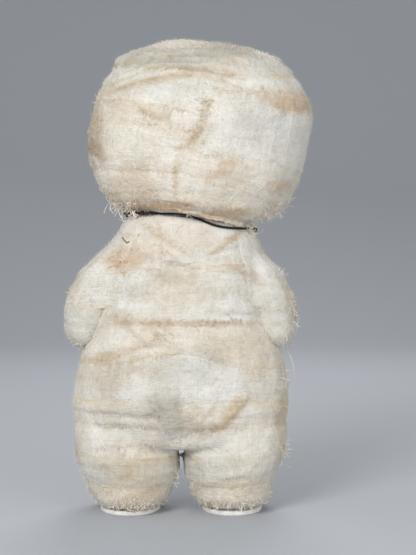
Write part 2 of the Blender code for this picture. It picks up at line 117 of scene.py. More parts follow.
# %% [markdown]
# ## Gauze
#
# Gauze is a loose plain weave of soft cotton: threads go over and under each other with small
# holes between them. From a step away the eye gets three things: a fine grid that comes and
# goes, threads that are thicker here and there, and a surface with no shine but a little fuzz.
# Real holes in a mesh would cost millions of faces, so the weave is drawn by the material.
#
# The grid follows the cloth, so it reads the piece's own UV map, which holds real metres along
# and across the strip. The stains do not follow the cloth: tea soaked through all the layers, so
# they are painted on each piece as a colour attribute, by place, and the material multiplies its
# own colour by them.
#
# The real threads are 0.6 mm apart, about one pixel of the picture. They are drawn 0.95 mm apart,
# because a finer grid would not show.

# %% Patterns of the gauze
THREAD_SPACING = 0.95 * MM
SLUB_LENGTH = 14 * MM
WANDER = 0.8 * MM
WANDER_SIZE = 9 * MM
CREASE_LENGTH, CREASE_WIDTH = 17 * MM, 3 * MM
CRUMPLE = 2.4 * MM
BLOTCH = 14 * MM


def wandering(tree, place):
    """Places on the cloth, in its own UV map. Threads wander a little from the straight grid."""
    weave = node(tree, "ShaderNodeUVMap", uv_map="Weave").outputs["UV"]
    drift = node(tree, "ShaderNodeTexNoise",
                 {"Vector": place, "Scale": 1 / WANDER_SIZE, "Detail": 2.0})
    centred = node(tree, "ShaderNodeVectorMath", {0: drift.outputs["Color"], 1: (0.5, 0.5, 0.5)},
                   operation="SUBTRACT")
    shift = node(tree, "ShaderNodeVectorMath", {0: centred, "Scale": 2 * WANDER},
                 operation="SCALE")
    return node(tree, "ShaderNodeVectorMath", {0: weave, 1: shift}, operation="ADD")


def woven(tree, cloth_place):
    """The grid of the threads, and where they are thick."""
    parts = node(tree, "ShaderNodeSeparateXYZ", {0: cloth_place}).outputs
    waves = []
    for axis in (0, 1):
        turn = node(tree, "ShaderNodeMath", {0: parts[axis], 1: 2 * math.pi / THREAD_SPACING},
                    operation="MULTIPLY")
        waves.append(node(tree, "ShaderNodeMath", {0: turn}, operation="SINE"))
    grid = node(tree, "ShaderNodeMath", {0: waves[0], 1: waves[1]}, operation="ADD")

    # A slub is a thick stretch of one thread: noise drawn out along the thread.
    slubs = []
    for scale in ((1 / SLUB_LENGTH, 1 / THREAD_SPACING, 1.0),
                  (1 / THREAD_SPACING, 1 / SLUB_LENGTH, 1.0)):
        drawn = node(tree, "ShaderNodeMapping", {"Vector": cloth_place, "Scale": scale})
        slubs.append(node(tree, "ShaderNodeTexNoise",
                          {"Vector": drawn, "Scale": 1.0, "Detail": 1.0}))
    thick = node(tree, "ShaderNodeMath", {0: slubs[0], 1: slubs[1]}, operation="ADD")
    return grid, thick


def crumpled(tree, place, cloth_place):
    """Creases a few millimetres apart that run with the strip, fine crumples, and blotches."""
    long_ways = node(tree, "ShaderNodeMapping",
                     {"Vector": cloth_place, "Scale": (1 / CREASE_LENGTH, 1 / CREASE_WIDTH, 1.0)})
    crease = node(tree, "ShaderNodeTexNoise",
                  {"Vector": long_ways, "Scale": 1.0, "Detail": 3.0, "Roughness": 0.55})
    crumple = node(tree, "ShaderNodeTexNoise",
                   {"Vector": place, "Scale": 1 / CRUMPLE, "Detail": 5.0, "Roughness": 0.7})
    blotch = node(tree, "ShaderNodeTexNoise",
                  {"Vector": place, "Scale": 1 / BLOTCH, "Detail": 4.0, "Roughness": 0.6})
    return crease, crumple, blotch


print("threads", THREAD_SPACING / MM, "mm apart")

# %% [markdown]
# The colour goes from the clean to the dusty shade by blotches. The weave and the slubs make it a
# little lighter or darker, the crumples add painted shade in their hollows, and the stains are
# multiplied in. The weave, the slubs, the long creases and the crumples also raise the surface,
# the crumples most of all.

# %% The gauze finishes
def gauze(name, cloth, shade):
    """Cotton gauze: two thread directions, slubs, soft mottling and painted stains."""
    made = bpy.data.materials.new(name)
    made.use_nodes = True
    tree = made.node_tree
    shader = tree.nodes["Principled BSDF"]
    place = node(tree, "ShaderNodeTexCoord").outputs["Object"]
    # The Stain attribute holds the stains, and on the strips also painted shade in creases and
    # below folds.
    stain = node(tree, "ShaderNodeAttribute", attribute_name="Stain").outputs["Color"]
    cloth_place = wandering(tree, place)
    grid, thick = woven(tree, cloth_place)
    crease, crumple, blotch = crumpled(tree, place, cloth_place)

    soft = node(tree, "ShaderNodeMapRange",
                {"Value": blotch, "From Min": 0.36, "From Max": 0.66})
    base = node(tree, "ShaderNodeMix", {0: soft, 6: colour(cloth), 7: colour(shade)},
                data_type="RGBA").outputs[2]
    shows = node(tree, "ShaderNodeMapRange",
                 {"Value": blotch, "From Min": 0.4, "From Max": 0.62,
                  "To Min": 0.008, "To Max": 0.040})
    weave_light = node(tree, "ShaderNodeMath", {0: grid, 1: shows, 2: 0.97},
                       operation="MULTIPLY_ADD")
    slub_light = node(tree, "ShaderNodeMapRange",
                      {"Value": thick, "From Min": 0.7, "From Max": 1.3,
                       "To Min": 0.93, "To Max": 1.04})
    # Painted shade: darker in the hollows of the crumples, lighter on their tops.
    painted_crumple_shade = node(tree, "ShaderNodeMapRange",
                      {"Value": crumple, "From Min": 0.3, "From Max": 0.6,
                       "To Min": 0.91, "To Max": 1.03})
    light = node(tree, "ShaderNodeMath", {0: weave_light, 1: slub_light},
                 operation="MULTIPLY")
    light = node(tree, "ShaderNodeMath", {0: light, 1: painted_crumple_shade},
                 operation="MULTIPLY")
    lit = node(tree, "ShaderNodeVectorMath", {0: base, "Scale": light}, operation="SCALE")
    stained = node(tree, "ShaderNodeMix", {0: 1.0, 6: lit, 7: stain},
                   data_type="RGBA", blend_type="MULTIPLY").outputs[2]
    tree.links.new(stained, shader.inputs["Base Color"])

    raised = node(tree, "ShaderNodeMath", {0: grid, 1: 0.05}, operation="MULTIPLY")
    for height, share in ((thick, 0.3), (crease, 0.7), (crumple, 2.2)):
        raised = node(tree, "ShaderNodeMath", {0: height, 1: share, 2: raised},
                      operation="MULTIPLY_ADD")
    bump = node(tree, "ShaderNodeBump", {"Height": raised, "Strength": 0.8, "Distance": 0.55 * MM})
    tree.links.new(bump.outputs[0], shader.inputs["Normal"])
    shader.inputs["Roughness"].default_value = 0.95
    shader.inputs["Specular IOR Level"].default_value = 0.15
    shader.inputs["Sheen Weight"].default_value = 0.12
    shader.inputs["Sheen Roughness"].default_value = 0.5
    return made


finishes = {
    "gauze_cream": gauze("gauze, tea-dyed cream", "#e4dfd4", "#d8d0c1"),
    "gauze_pale": gauze("gauze, bleached", "#e5e3dc", "#dad6cc"),
    "gauze_warm": gauze("gauze, stained warm", "#e5e0d6", "#dcd5c8"),
    "gauze_grey": gauze("gauze, greyed by dust", "#dddad1", "#cdc9be"),
    "gauze_brown": gauze("gauze, stained brown", "#e4ded2", "#d9d1c3"),
    "stuffed_cotton": gauze("gauze base layer", "#e7e4dc", "#dcd7cc"),
}
print("gauze finishes:", ", ".join(finishes))

# %% [markdown]
# ## Cord, thread and sole
#
# The cord is waxed cotton, nearly black and hardly shiny. The loose threads are single yarns of
# the gauze, so they take its colour and its stains. The soles are smooth pressed felt, the
# cleanest and whitest thing on the doll.

# %% Cord, thread and sole materials
def plain_cloth(name, cloth, roughness, fibre, depth, stained=False):
    """A plain matt material with one fine noise in its colour and its surface."""
    made = bpy.data.materials.new(name)
    made.use_nodes = True
    tree = made.node_tree
    shader = tree.nodes["Principled BSDF"]
    place = node(tree, "ShaderNodeTexCoord").outputs["Object"]
    grain = node(tree, "ShaderNodeTexNoise",
                 {"Vector": place, "Scale": 1 / fibre, "Detail": 3.0})
    shade = node(tree, "ShaderNodeMapRange",
                 {"Value": grain, "From Min": 0.3, "From Max": 0.7,
                  "To Min": 0.88, "To Max": 1.05})
    tinted = node(tree, "ShaderNodeVectorMath", {0: colour(cloth)[:3], "Scale": shade},
                  operation="SCALE").outputs[0]
    if stained:
        stain = node(tree, "ShaderNodeAttribute", attribute_name="Stain").outputs["Color"]
        tinted = node(tree, "ShaderNodeMix", {0: 1.0, 6: tinted, 7: stain},
                      data_type="RGBA", blend_type="MULTIPLY").outputs[2]
    tree.links.new(tinted, shader.inputs["Base Color"])
    bump = node(tree, "ShaderNodeBump", {"Height": grain, "Strength": 0.5, "Distance": depth})
    tree.links.new(bump.outputs[0], shader.inputs["Normal"])
    shader.inputs["Roughness"].default_value = roughness
    return made


finishes["black_cord"] = plain_cloth("waxed cotton cord", "#121110", 0.7, 0.5 * MM, 0.1 * MM)
finishes["thread"] = plain_cloth("loose cotton thread", "#ece5d8", 0.9, 3.0 * MM, 0.05 * MM, True)
finishes["dark_thread"] = plain_cloth("brown thread end", "#8d7553", 0.9, 2.0 * MM, 0.05 * MM)
finishes["sole_felt"] = plain_cloth("pressed white felt", "#e3e0db", 0.85, 2.5 * MM, 0.1 * MM)
finishes["sole_felt"].node_tree.nodes["Principled BSDF"].inputs["Sheen Weight"].default_value = 0.1
print("other finishes: cord, threads, felt")

# %% [markdown]
# ## Stains
#
# The doll was dyed and weathered by hand, so its stains have places. Each is an oval on the
# front, given by where its middle is seen, how far it reaches, its colour and its strength. The
# edge of each is broken up with noise, as a liquid spreads unevenly through cloth. The back and
# the sides get gentle blotches of the same kinds, so that they do not look newer.
#
# The colour is kept as a number that multiplies the gauze: white changes nothing.

# %% Stains
class Stain(NamedTuple):
    """An oval stain on the front: its middle, its reach and its tint, lengths in millimetres."""

    x: float
    z: float
    reach_x: float
    reach_z: float
    tint: str
    strength: float
    slant: float = 0.0


TAN = "#dcc4a0"
PEACH = "#e4c3a0"
RUST = "#bd9f7b"
# The grey of dust. At the fork between the legs it also stands for painted shade.
DUST_AND_SHADE = "#b3b2ae"
STAINS = (
    Stain(52, 212, 13, 5, PEACH, 0.70, -15.0),
    Stain(30, 217, 14, 3, TAN, 0.15),
    Stain(-26, 170, 14, 9, PEACH, 0.32, 20.0),
    Stain(-40, 162, 8, 8, TAN, 0.20),
    Stain(18, 178, 9, 3.2, PEACH, 0.40, 35.0),
    Stain(46, 169, 7, 3, PEACH, 0.45, -10.0),
    Stain(-14, 158, 17, 3, PEACH, 0.75),
    Stain(19, 154, 13, 3, TAN, 0.60),
    Stain(-49, 197, 4, 17, RUST, 0.45),
    Stain(4, 197, 3, 9, TAN, 0.30, -25.0),
    Stain(6.5, 202, 2.0, 6, TAN, 0.20, -20.0),
    Stain(2, 194, 4.0, 2.4, PEACH, 0.35, 35.0),
    Stain(-4, 189, 3, 1.2, TAN, 0.40, 40.0),
    Stain(10, 212, 1.3, 5, TAN, 0.60, -25.0),
    Stain(-20, 207, 6, 2, TAN, 0.50, -30.0),
    Stain(-12, 200, 13, 9, TAN, 0.16),
    Stain(-16, 224, 24, 2.2, TAN, 0.40, 12.0),
    Stain(14, 227, 18, 2.0, TAN, 0.30, -8.0),
    Stain(-12, 235, 26, 5, DUST_AND_SHADE, 0.35),
    Stain(22, 240, 16, 5, DUST_AND_SHADE, 0.40),
    Stain(-32, 130, 14, 6, PEACH, 0.60),
    Stain(30, 124, 10, 2, PEACH, 0.32, -35.0),
    Stain(-13, 141, 14, 1.0, TAN, 0.50, -33.0),
    Stain(20, 140, 11, 1.2, TAN, 0.50, 35.0),
    Stain(-35, 100, 9, 5, RUST, 0.35),
    Stain(0, 97, 34, 1.6, RUST, 0.45),
    Stain(-10, 128, 10, 16, TAN, 0.20),
    Stain(-49, 58, 8, 7, TAN, 0.12),
    # These two grey stains at the fork are partly dust and partly painted shade of the hollow
    # between the legs.
    Stain(-9, 48, 10, 13, DUST_AND_SHADE, 0.45, 25.0),
    Stain(-22, 53, 13, 6, DUST_AND_SHADE, 0.30),
    Stain(21, 49, 12, 3.5, TAN, 0.60, 50.0),
    Stain(9, 41, 6, 3, RUST, 0.35, 40.0),
    Stain(3, 46, 5, 8, TAN, 0.30),
    Stain(-33, 21, 12, 5, TAN, 0.40),
    Stain(-31, 9, 20, 4, TAN, 0.10),
    Stain(24, 13, 18, 4, TAN, 0.20),
    Stain(49, 47, 5, 22, TAN, 0.35),
    Stain(56, 112, 6, 10, TAN, 0.45),
    Stain(-60, 118, 5, 9, TAN, 0.35),
    Stain(25, 84, 16, 8, TAN, 0.25),
    Stain(-24, 74, 14, 6, TAN, 0.22),
    Stain(-7, 174, 1.0, 10, TAN, 0.55),
    Stain(-36, 82, 20, 2.5, TAN, 0.40, 17.0),
    Stain(38, 64, 8, 12, TAN, 0.20, 30.0),
    Stain(-48, 187, 7, 3, RUST, 0.45, -35.0),
    Stain(-44, 70, 13, 9, TAN, 0.35),
    Stain(-4, 73, 18, 9, DUST_AND_SHADE, 0.20),
    Stain(-34, 29, 16, 7, TAN, 0.22),
    Stain(-31, 13, 17, 6, TAN, 0.28),
    Stain(-8, 220, 22, 5, DUST_AND_SHADE, 0.20),
    Stain(-4, 114, 20, 9, TAN, 0.30),
)
print("stains on the front:", len(STAINS))

# %% [markdown]
# Each point of a mesh gets its colour from these ovals, from slow blotches of tea and from slow
# patches of dust.

# %% Stain a surface
STAIN_TINTS = [colour(stain.tint)[:3] for stain in STAINS]
TEA, GREY_DUST = colour(TAN)[:3], colour(DUST_AND_SHADE)[:3]
WHITE = (1.0, 1.0, 1.0)
FRONT_FADE = 16 * MM
SPREAD = 7 * MM
FINE_SPREAD = 0.3 * SPREAD
SPREAD_SHARE, FINE_SPREAD_SHARE = 0.42, 0.34
STAIN_END, STAIN_FADE, WIDEST = 1.45, 0.9, 1.7
BLOTCH_SIZE, BLOTCH_SEED = 26 * MM, Vector((7.0, 1.0, 3.0))
TEA_SHARE, TEA_LESS_IN_FRONT, DUST_SHARE = 0.52, 0.30, 0.22


def within(value, low=0.0, high=1.0):
    """A value kept between two limits."""
    return min(max(value, low), high)


def mix(first, second, share):
    """A colour this share of the way from the first to the second."""
    return [a + (b - a) * share for a, b in zip(first, second)]


def times(first, second):
    """Two colours multiplied."""
    return [a * b for a, b in zip(first, second)]


def stained_front(place, ragged, front):
    """The tint that the stains on the front give a point."""
    tint = WHITE
    seen_x, seen_z = as_seen(place)
    for stain, stain_tint in zip(STAINS, STAIN_TINTS):
        dx, dz = seen_x - stain.x, seen_z - stain.z
        widest = WIDEST * max(stain.reach_x, stain.reach_z)
        if abs(dx) > widest or abs(dz) > widest:
            continue
        turn = math.radians(stain.slant)
        along = (dx * math.cos(turn) + dz * math.sin(turn)) / stain.reach_x
        across = (dz * math.cos(turn) - dx * math.sin(turn)) / stain.reach_z
        far = math.hypot(along, across) + ragged
        if far < STAIN_END:
            share = stain.strength * front * min((STAIN_END - far) / STAIN_FADE, 1.0)
            tint = times(tint, mix(WHITE, stain_tint, share))
    return tint


def stain_at(place):
    """What the gauze's colour is multiplied by at a point of the doll."""
    front = within(0.5 - place.y / FRONT_FADE)
    ragged = noise.noise(place / SPREAD) * SPREAD_SHARE
    ragged += noise.noise(place / FINE_SPREAD) * FINE_SPREAD_SHARE
    tint = stained_front(place, ragged, front) if front > 0 else WHITE
    slow = noise.noise(place / BLOTCH_SIZE + BLOTCH_SEED)
    tea = within(slow * 2.2 - 0.15 + ragged) * (TEA_SHARE - TEA_LESS_IN_FRONT * front)
    tint = times(tint, mix(WHITE, TEA, tea))
    dust = within(-slow * 2.0 - 0.25 - ragged) * DUST_SHARE
    return times(tint, mix(WHITE, GREY_DUST, dust))


def paint(mesh, shade=None):
    """Paints the stains on a mesh, by place. Shade, if given, holds one more factor per vertex."""
    layer = mesh.color_attributes.new("Stain", "FLOAT_COLOR", "POINT")
    values = []
    for vertex in mesh.vertices:
        tint = stain_at(vertex.co)
        if shade:
            tint = times(tint, shade[vertex.index])
        values += [*tint, 1.0]
    layer.data.foreach_set("color", values)


print("a stain ends at", STAIN_END, "times its reach")

# %% [markdown]
# ## The stuffed cores
#
# Under the gauze are four stuffed bags: the head, the body with its legs, and two arms. The
# frame's solids have flat facets, and a stuffed bag has none. Each solid is copied, rebuilt as
# even little squares with a voxel remesh, and smoothed. A cloth simulation could do it too, but
# the bags hardly show, and their outline has to stay that of the solids.

# %% Stuffed cores
def finish_piece(obj, finish):
    """Gives a piece its finish and slot, shades it and lets it ride on the doll."""
    obj.data.materials.clear()
    obj.data.materials.append(finishes[finish])
    obj.data.polygons.foreach_set("use_smooth", [True] * len(obj.data.polygons))
    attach(obj, BODY)
    return obj


def add_object(name, mesh):
    """An object for a mesh, in the scene."""
    obj = bpy.data.objects.new(name, mesh)
    bpy.context.scene.collection.objects.link(obj)
    return obj


def stuffed(name, cad_node, voxel, smoothing):
    """A soft copy of one of the frame's stuffed solids."""
    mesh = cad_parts[cad_node].data.copy()
    obj = add_object(name, mesh)
    merged = bmesh.new()
    merged.from_mesh(mesh)
    bmesh.ops.remove_doubles(merged, verts=merged.verts, dist=0.005 * MM)
    merged.to_mesh(mesh)
    merged.free()
    remesh = obj.modifiers.new("Remesh", "REMESH")
    remesh.mode = "VOXEL"
    remesh.voxel_size = voxel
    smooth = obj.modifiers.new("Smooth", "SMOOTH")
    smooth.factor = 0.5
    smooth.iterations = smoothing
    graph = bpy.context.evaluated_depsgraph_get()
    soft = bpy.data.meshes.new_from_object(obj.evaluated_get(graph))
    obj.modifiers.clear()
    obj.data = soft
    return obj


cores = {
    "head": stuffed("head_core", "head_stuffed", 2.0 * MM, 5),
    "body": stuffed("body_core", "body_stuffed", 1.8 * MM, 4),
    "arm_left": stuffed("arm_core_left", "arm_left", 1.0 * MM, 5),
    "arm_right": stuffed("arm_core_right", "arm_right", 1.0 * MM, 5),
}
print("cores:", ", ".join(core.name for core in cores.values()))

# %% [markdown]
# ## Squeezed and filled
#
# The bags press on each other and sag. An arm is stuffed until it presses on the torso, so its
# inner side is filled out, and at its top it slopes in to the neck. Then slow noise pushes every
# surface in and out by about a millimetre, because filling is never even.
#
# Each of these is one soft change of some vertices. A bell-shaped curve of the distance says how
# much of it each vertex gets, so that no edge shows.

# %% Shape the arms
def bell(value, middle, reach):
    """A bell-shaped share: 1 in the middle, and nearly 0 at twice the reach."""
    return math.exp(-(((value - middle) / reach) ** 2))


ARM_FILL = 3.3 * MM
SLOPE_FROM, SLOPE_HEIGHT, SLOPE_IN = 125 * MM, 13 * MM, 6.0 * MM
for side, core in ((-1, cores["arm_left"]), (1, cores["arm_right"])):
    inward = [max(0.0, -side * vertex.normal.x) for vertex in core.data.vertices]
    for vertex, share in zip(core.data.vertices, inward):
        vertex.co.x -= side * share * ARM_FILL
    for vertex in core.data.vertices:
        up = max(0.0, (vertex.co.z - SLOPE_FROM) / SLOPE_HEIGHT)
        vertex.co.x -= side * SLOPE_IN * up
print("arms filled out by", ARM_FILL / MM, "mm")

# %% [markdown]
# The hips hang slightly over the thighs, and the shins widen to the soles. Between the legs the
# thighs are as full as the belly, and the bag is drawn up a little where they meet. The right
# calf is slimmer on its outer side.

# %% Shape the body
BODY_X = sum(corner[0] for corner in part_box("body_stuffed")) / 2
HIP_Z, HIP_REACH, HIP_FILL = 47.5 * MM, 6 * MM, 1.7 * MM
SHIN_Z, SHIN_REACH, SHIN_FILL = 6 * MM, 5 * MM, 1.2 * MM
CALF_Z, CALF_REACH, CALF_SLIM = 21 * MM, 10 * MM, 3.4 * MM
CALF_FROM, CALF_WIDTH = 30 * MM, 18 * MM
FORK_Z, FORK_REACH, FORK_WIDTH, FORK_FILL = 30 * MM, 5 * MM, 15 * MM, 2.4 * MM
FORK_RISE, RISE_WIDTH = 3.5 * MM, 7 * MM
BELLY_Z, BELLY_SLIM = 39.5 * MM, 2.4 * MM


def at_fork(place, height, width):
    """A bell-shaped share round a point between the legs, or over them."""
    far = ((place.z - height) / FORK_REACH) ** 2 + ((place.x - BODY_X) / width) ** 2
    return math.exp(-far)


body_normals = [vertex.normal.copy() for vertex in cores["body"].data.vertices]
for vertex, normal in zip(cores["body"].data.vertices, body_normals):
    fork = at_fork(vertex.co, FORK_Z, FORK_WIDTH)
    belly = at_fork(vertex.co, BELLY_Z, FORK_WIDTH)
    vertex.co.z += FORK_RISE * at_fork(vertex.co, FORK_Z, RISE_WIDTH) * max(0.0, -normal.z)
    vertex.co.y += (FORK_FILL * fork - BELLY_SLIM * belly) * normal.y
    hip = HIP_FILL * bell(vertex.co.z, HIP_Z, HIP_REACH) * abs(normal.x)
    shin = SHIN_FILL * bell(vertex.co.z, SHIN_Z, SHIN_REACH)
    vertex.co += Vector((normal.x, normal.y, 0.0)) * (hip + shin)
    calf = CALF_SLIM * bell(vertex.co.z, CALF_Z, CALF_REACH)
    vertex.co.x -= calf * within((vertex.co.x - CALF_FROM) / CALF_WIDTH)
print("body shaped:", len(body_normals), "vertices")

# %% [markdown]
# The head is lifted a little where the cord is tied under its left side. It is slacker there.

# %% Shape the head and fill every core unevenly
HEAD_TUCK = 1.8 * MM
TUCK_X, TUCK_WIDTH, TUCK_TOP, TUCK_DEPTH = -14 * MM, 17 * MM, 22 * MM, 15 * MM
SLACK_Z, SLACK_REACH, SLACK, SLACK_WIDTH = 165 * MM, 24 * MM, 3.4 * MM, 45 * MM
SLACK_RIGHT = -0.35
head_low = min(vertex.co.z for vertex in cores["head"].data.vertices)
for vertex in cores["head"].data.vertices:
    slack = SLACK * bell(vertex.co.z, SLACK_Z, SLACK_REACH)
    vertex.co.x += slack * within(-vertex.co.x / SLACK_WIDTH, SLACK_RIGHT)
    near = bell(vertex.co.x, TUCK_X, TUCK_WIDTH)
    down = max(0.0, 1 - (vertex.co.z - head_low) / TUCK_TOP)
    if vertex.co.y < 0:
        front = min(-vertex.co.y / TUCK_DEPTH, 1.0)
        vertex.co.z += HEAD_TUCK * near * down**0.5 * front

LUMP, LUMP_HEIGHT, SMALL_LUMP_SHARE = 24 * MM, 0.9 * MM, 0.35
CREPE, CREPE_LENGTH, CREPE_WIDTH = 0.25 * MM, 9 * MM, 2.2 * MM
END_FADE = 6 * MM
SWELL = {"head": 0.3 * MM, "body": 1.8 * MM, "arm_left": 1.0 * MM, "arm_right": 1.0 * MM}


def swell(obj, amount):
    """Fills a piece out, less at its ends, and gives it lumps and the creases of wound gauze."""
    normals = [vertex.normal.copy() for vertex in obj.data.vertices]
    low = min(vertex.co.z for vertex in obj.data.vertices)
    high = max(vertex.co.z for vertex in obj.data.vertices)
    for vertex, normal in zip(obj.data.vertices, normals):
        end = min(vertex.co.z - low, high - vertex.co.z) / END_FADE
        vertex.co += normal * amount * min(end, 1.0)
        place = vertex.co.copy()
        lump = noise.noise(place / LUMP)
        lump += SMALL_LUMP_SHARE * noise.noise(place / (SMALL_LUMP_SHARE * LUMP))
        flat = Vector((place.x / CREPE_LENGTH, place.y / CREPE_LENGTH, place.z / CREPE_WIDTH))
        vertex.co += normal * (lump * LUMP_HEIGHT + noise.noise(flat) * CREPE)


for name, core in cores.items():
    swell(core, SWELL[name])
    print(core.name, len(core.data.polygons), "faces")

# %% [markdown]
# ## Forms to wind on
#
# Each strip is laid the way a hand lays it: it goes round a form at some height and some slant,
# and it rests on whatever is already there. A form is described by rays: one starts in its middle
# and leaves at some angle and height. On the head, heights are latitudes, round an axis that
# leans with the head.

# %% Forms
class Upright:
    """A form that stands upright. Its strips go round at heights above the ground."""

    unit = 1.0

    def __init__(self, core, middle, width, back_off, tops=None):
        self.core, self.middle, self.width, self.back_off = core, middle, width, back_off
        self.tops = tops or (core,)

    def ray(self, angle, height):
        """Where a ray starts and which way it goes. The middle holds heights and their x."""
        points = self.middle
        x = points[0][1] if height <= points[0][0] else points[-1][1]
        for low, high in zip(points, points[1:]):
            if low[0] < height <= high[0]:
                x = low[1] + (high[1] - low[1]) * (height - low[0]) / (high[0] - low[0])
        return Vector((x, 0.0, height)), Vector((math.sin(angle), -math.cos(angle), 0.0))


class HeadForm:
    """The head. Its strips go round at latitudes, about an axis that leans with the head."""

    ROLL = Matrix.Rotation(math.radians(6.0), 3, "Y")
    LEAN = 0.07
    unit = math.radians(1)
    width, back_off = 50 * MM, 12 * MM
    core, tops = "head", ("head",)

    def __init__(self, strip):
        low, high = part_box("head_stuffed")
        self.centre = (Vector(low) + Vector(high)) / 2
        self.tilt = Matrix.Rotation(math.radians(strip.side_tilt), 3, "Y")
        self.tilt @= Matrix.Rotation(math.radians(strip.front_tilt), 3, "X")
        if strip.over_crown:
            self.tilt @= Matrix.Rotation(math.radians(90), 3, "X")

    def ray(self, angle, latitude):
        flat = math.cos(latitude)
        out = Vector((flat * math.sin(angle), -flat * math.cos(angle), math.sin(latitude)))
        out = self.tilt @ out
        out.x += self.LEAN * out.z
        return self.centre, (self.ROLL @ out).normalized()


def middle_x(cad_node):
    """Where the middle of a node's box lies from left to right."""
    low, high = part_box(cad_node)
    return (low[0] + high[0]) / 2


NECK_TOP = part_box("body_stuffed")[1][2]
NECK_LEAN = 5 * MM
WAIST, SHOULDER = 60 * MM, 130 * MM
ANKLE, KNEE, THIGH_LEAN = 15 * MM, 30 * MM, 1.1 * MM
ARM_LINE = ((86, 54), (98, 52.6), (115, 48.3), (130, 42.4), (139, 39))
body_middle = [(WAIST, BODY_X), (SHOULDER, BODY_X + NECK_LEAN / 3), (NECK_TOP, BODY_X + NECK_LEAN)]
forms = {"body": Upright("body", body_middle, 42 * MM, 7 * MM)}
for side, label in ((-1, "left"), (1, "right")):
    foot_x = middle_x(f"sole_{label}")
    leg_middle = [(ANKLE, foot_x), (KNEE, foot_x + side * THIGH_LEAN)]
    arm_middle = [(height * MM, BODY_X + side * x * MM) for height, x in ARM_LINE]
    arm = f"arm_{label}"
    forms[f"leg_{label}"] = Upright("body", leg_middle, 22 * MM, 2.6 * MM)
    forms[arm] = Upright(arm, arm_middle, 13 * MM, 4 * MM)
    # A sleeve is wound over the arm and onto the shoulder that it is sewn to.
    forms[f"shoulder_{label}"] = Upright("body", body_middle, 50 * MM, 36 * MM, ("body", arm))
print("forms:", ", ".join(forms), "and the head")

# %% [markdown]
# ## What a strip is
#
# A strip of gauze is torn off a roll, so it has a width, a length and frayed edges. What makes
# each one its own is where it lies, how it slants, how it is pleated and how far it frays. Those
# are the fields of one small class, so that the whole winding can be read as a list later on.

# %% A strip and its pleats
CELL = 1.2 * MM
CLOTH = 0.30 * MM
CLEARANCE = 0.05 * MM


class Pleat(NamedTuple):
    """A fold along a strip: how far up it lies (0 to 1), its height and how fast it fades."""

    at: float
    height: float = 0.9 * MM
    fade: float = 3.5 * MM
    upward: bool = True


class Strip(NamedTuple):
    """One strip of gauze. Heights and rises are in metres, latitudes and angles in degrees.

    Arches lift the low or the high edge in the middle of the front. Hang is how far the low
    edge hangs down free, on the side hang_side. Narrow is the sweep at the low edge as a share
    of the sweep at the high one. Cell is the size of its faces.
    """

    name: str
    slot: str
    form: str
    low: float
    high: float
    start: float = 180.0
    sweep: float = 360.0
    rise: float = 0.0
    high_side: float = 0.0
    side_tilt: float = 0.0
    front_tilt: float = 0.0
    over_crown: bool = False
    pleats: tuple = ()
    fray_low: float = 0.5
    fray_high: float = 0.3
    wavy: float = 1.1 * MM
    arch_low: float = 0.0
    arch_high: float = 0.0
    hang: float = 0.0
    hang_side: float = 0.0
    narrow: float = 1.0
    bridging: int = 4
    cell: float = CELL


print("cloth cells of", CELL / MM, "mm")

# %% [markdown]
# ## Folds in the front
#
# Some folds run across several strips, because the cloth was damp when it was pressed on. Each is
# a soft ridge between two points, given as seen. It is steep on its lower side, or on its right
# where it runs upwards. There it catches a shadow, and a thin line of painted shadow is laid below
# it.

# %% Folds
class Fold(NamedTuple):
    """A soft ridge on the front, between two points given as seen, in millimetres."""

    x0: float
    z0: float
    x1: float
    z1: float
    height: float
    width: float = 1.6


FOLDS = (
    Fold(-27, 152, 1, 134, 1.2),
    Fold(29, 146, 12, 135, 1.2),
    Fold(-1.4, 241, 24, 240, 1.2, 1.2),
    Fold(-38, 230, -27, 233, 1.0, 1.3),
    Fold(-28, 233, -1, 236.6, 1.5, 1.3),
    Fold(-2, 236.6, 16, 235.6, 1.5, 1.3),
    Fold(15, 235.8, 33, 231, 1.2, 1.3),
    Fold(-42, 221, -20, 229.3, 1.5, 1.3),
    Fold(-21, 229, 13, 231, 1.6, 1.3),
    Fold(12, 231, 26, 228, 1.2, 1.3),
    Fold(-41, 217, -27, 223, 1.5, 1.5),
    Fold(-28, 223, -8, 227, 1.7, 1.5),
    Fold(-9, 227, 10, 226, 1.6, 1.5),
    Fold(9, 226, 26, 222, 1.3, 1.5),
    Fold(-49, 215, -28, 211, 0.9, 1.2),
    Fold(-20, 205, 3, 204, 1.1, 1.2),
    Fold(-28, 213, -19, 206, 1.0, 1.2),
    Fold(13, 219, 7, 204, 0.6, 1.3),
    Fold(7, 204, 0, 192, 0.4, 1.3),
    Fold(0, 192, -7, 184, 0.4, 1.3),
    Fold(13, 220, 30, 217.5, 0.9, 1.2),
    Fold(-52, 199, -45, 192, 1.0, 1.4),
    Fold(-53, 190, -44, 184, 1.0, 1.4),
    Fold(22, 129, 36, 117, 0.9, 2.0),
    Fold(-6.6, 184, -6.6, 167, 1.1, 1.3),
    Fold(-6.6, 167, -1, 161, 1.0, 1.3),
    Fold(9, 105.6, 36, 103, 0.6),
    Fold(-30, 96, -20, 87, 0.8, 1.8),
    Fold(-12, 96, -8, 87, 0.7, 1.4),
    Fold(-51, 53, -16, 50, 0.6, 1.8),
    Fold(-50, 46, -12, 44, 0.6, 1.6),
    Fold(-49, 41, -18, 39, 0.5, 1.6),
    Fold(-4, 40, -20, 57, 0.8, 1.8),
    Fold(-3, 41, -10, 60, 0.7, 1.8),
    Fold(1, 40, 14, 58, 0.7, 1.8),
    Fold(10, 38, 30, 59, 1.0, 2.2),
    Fold(2, 11, 30, 20, 0.6, 1.4),
    Fold(30, 20, 44, 34, 0.6, 1.4),
    Fold(26, 36, 46, 41, 0.7, 1.8),
)
FOLD_FRONT = -6 * MM
FOLD_END = 3.5
FOLD_STEEP, FOLD_GENTLE = 1.7, 0.8
# A line of painted shadow lies just below each fold: its strength, how far below, and how wide.
FOLD_PAINTED_SHADE, PAINTED_SHADE_OFF, PAINTED_SHADE_WIDTH = 0.13, 0.9, 0.65


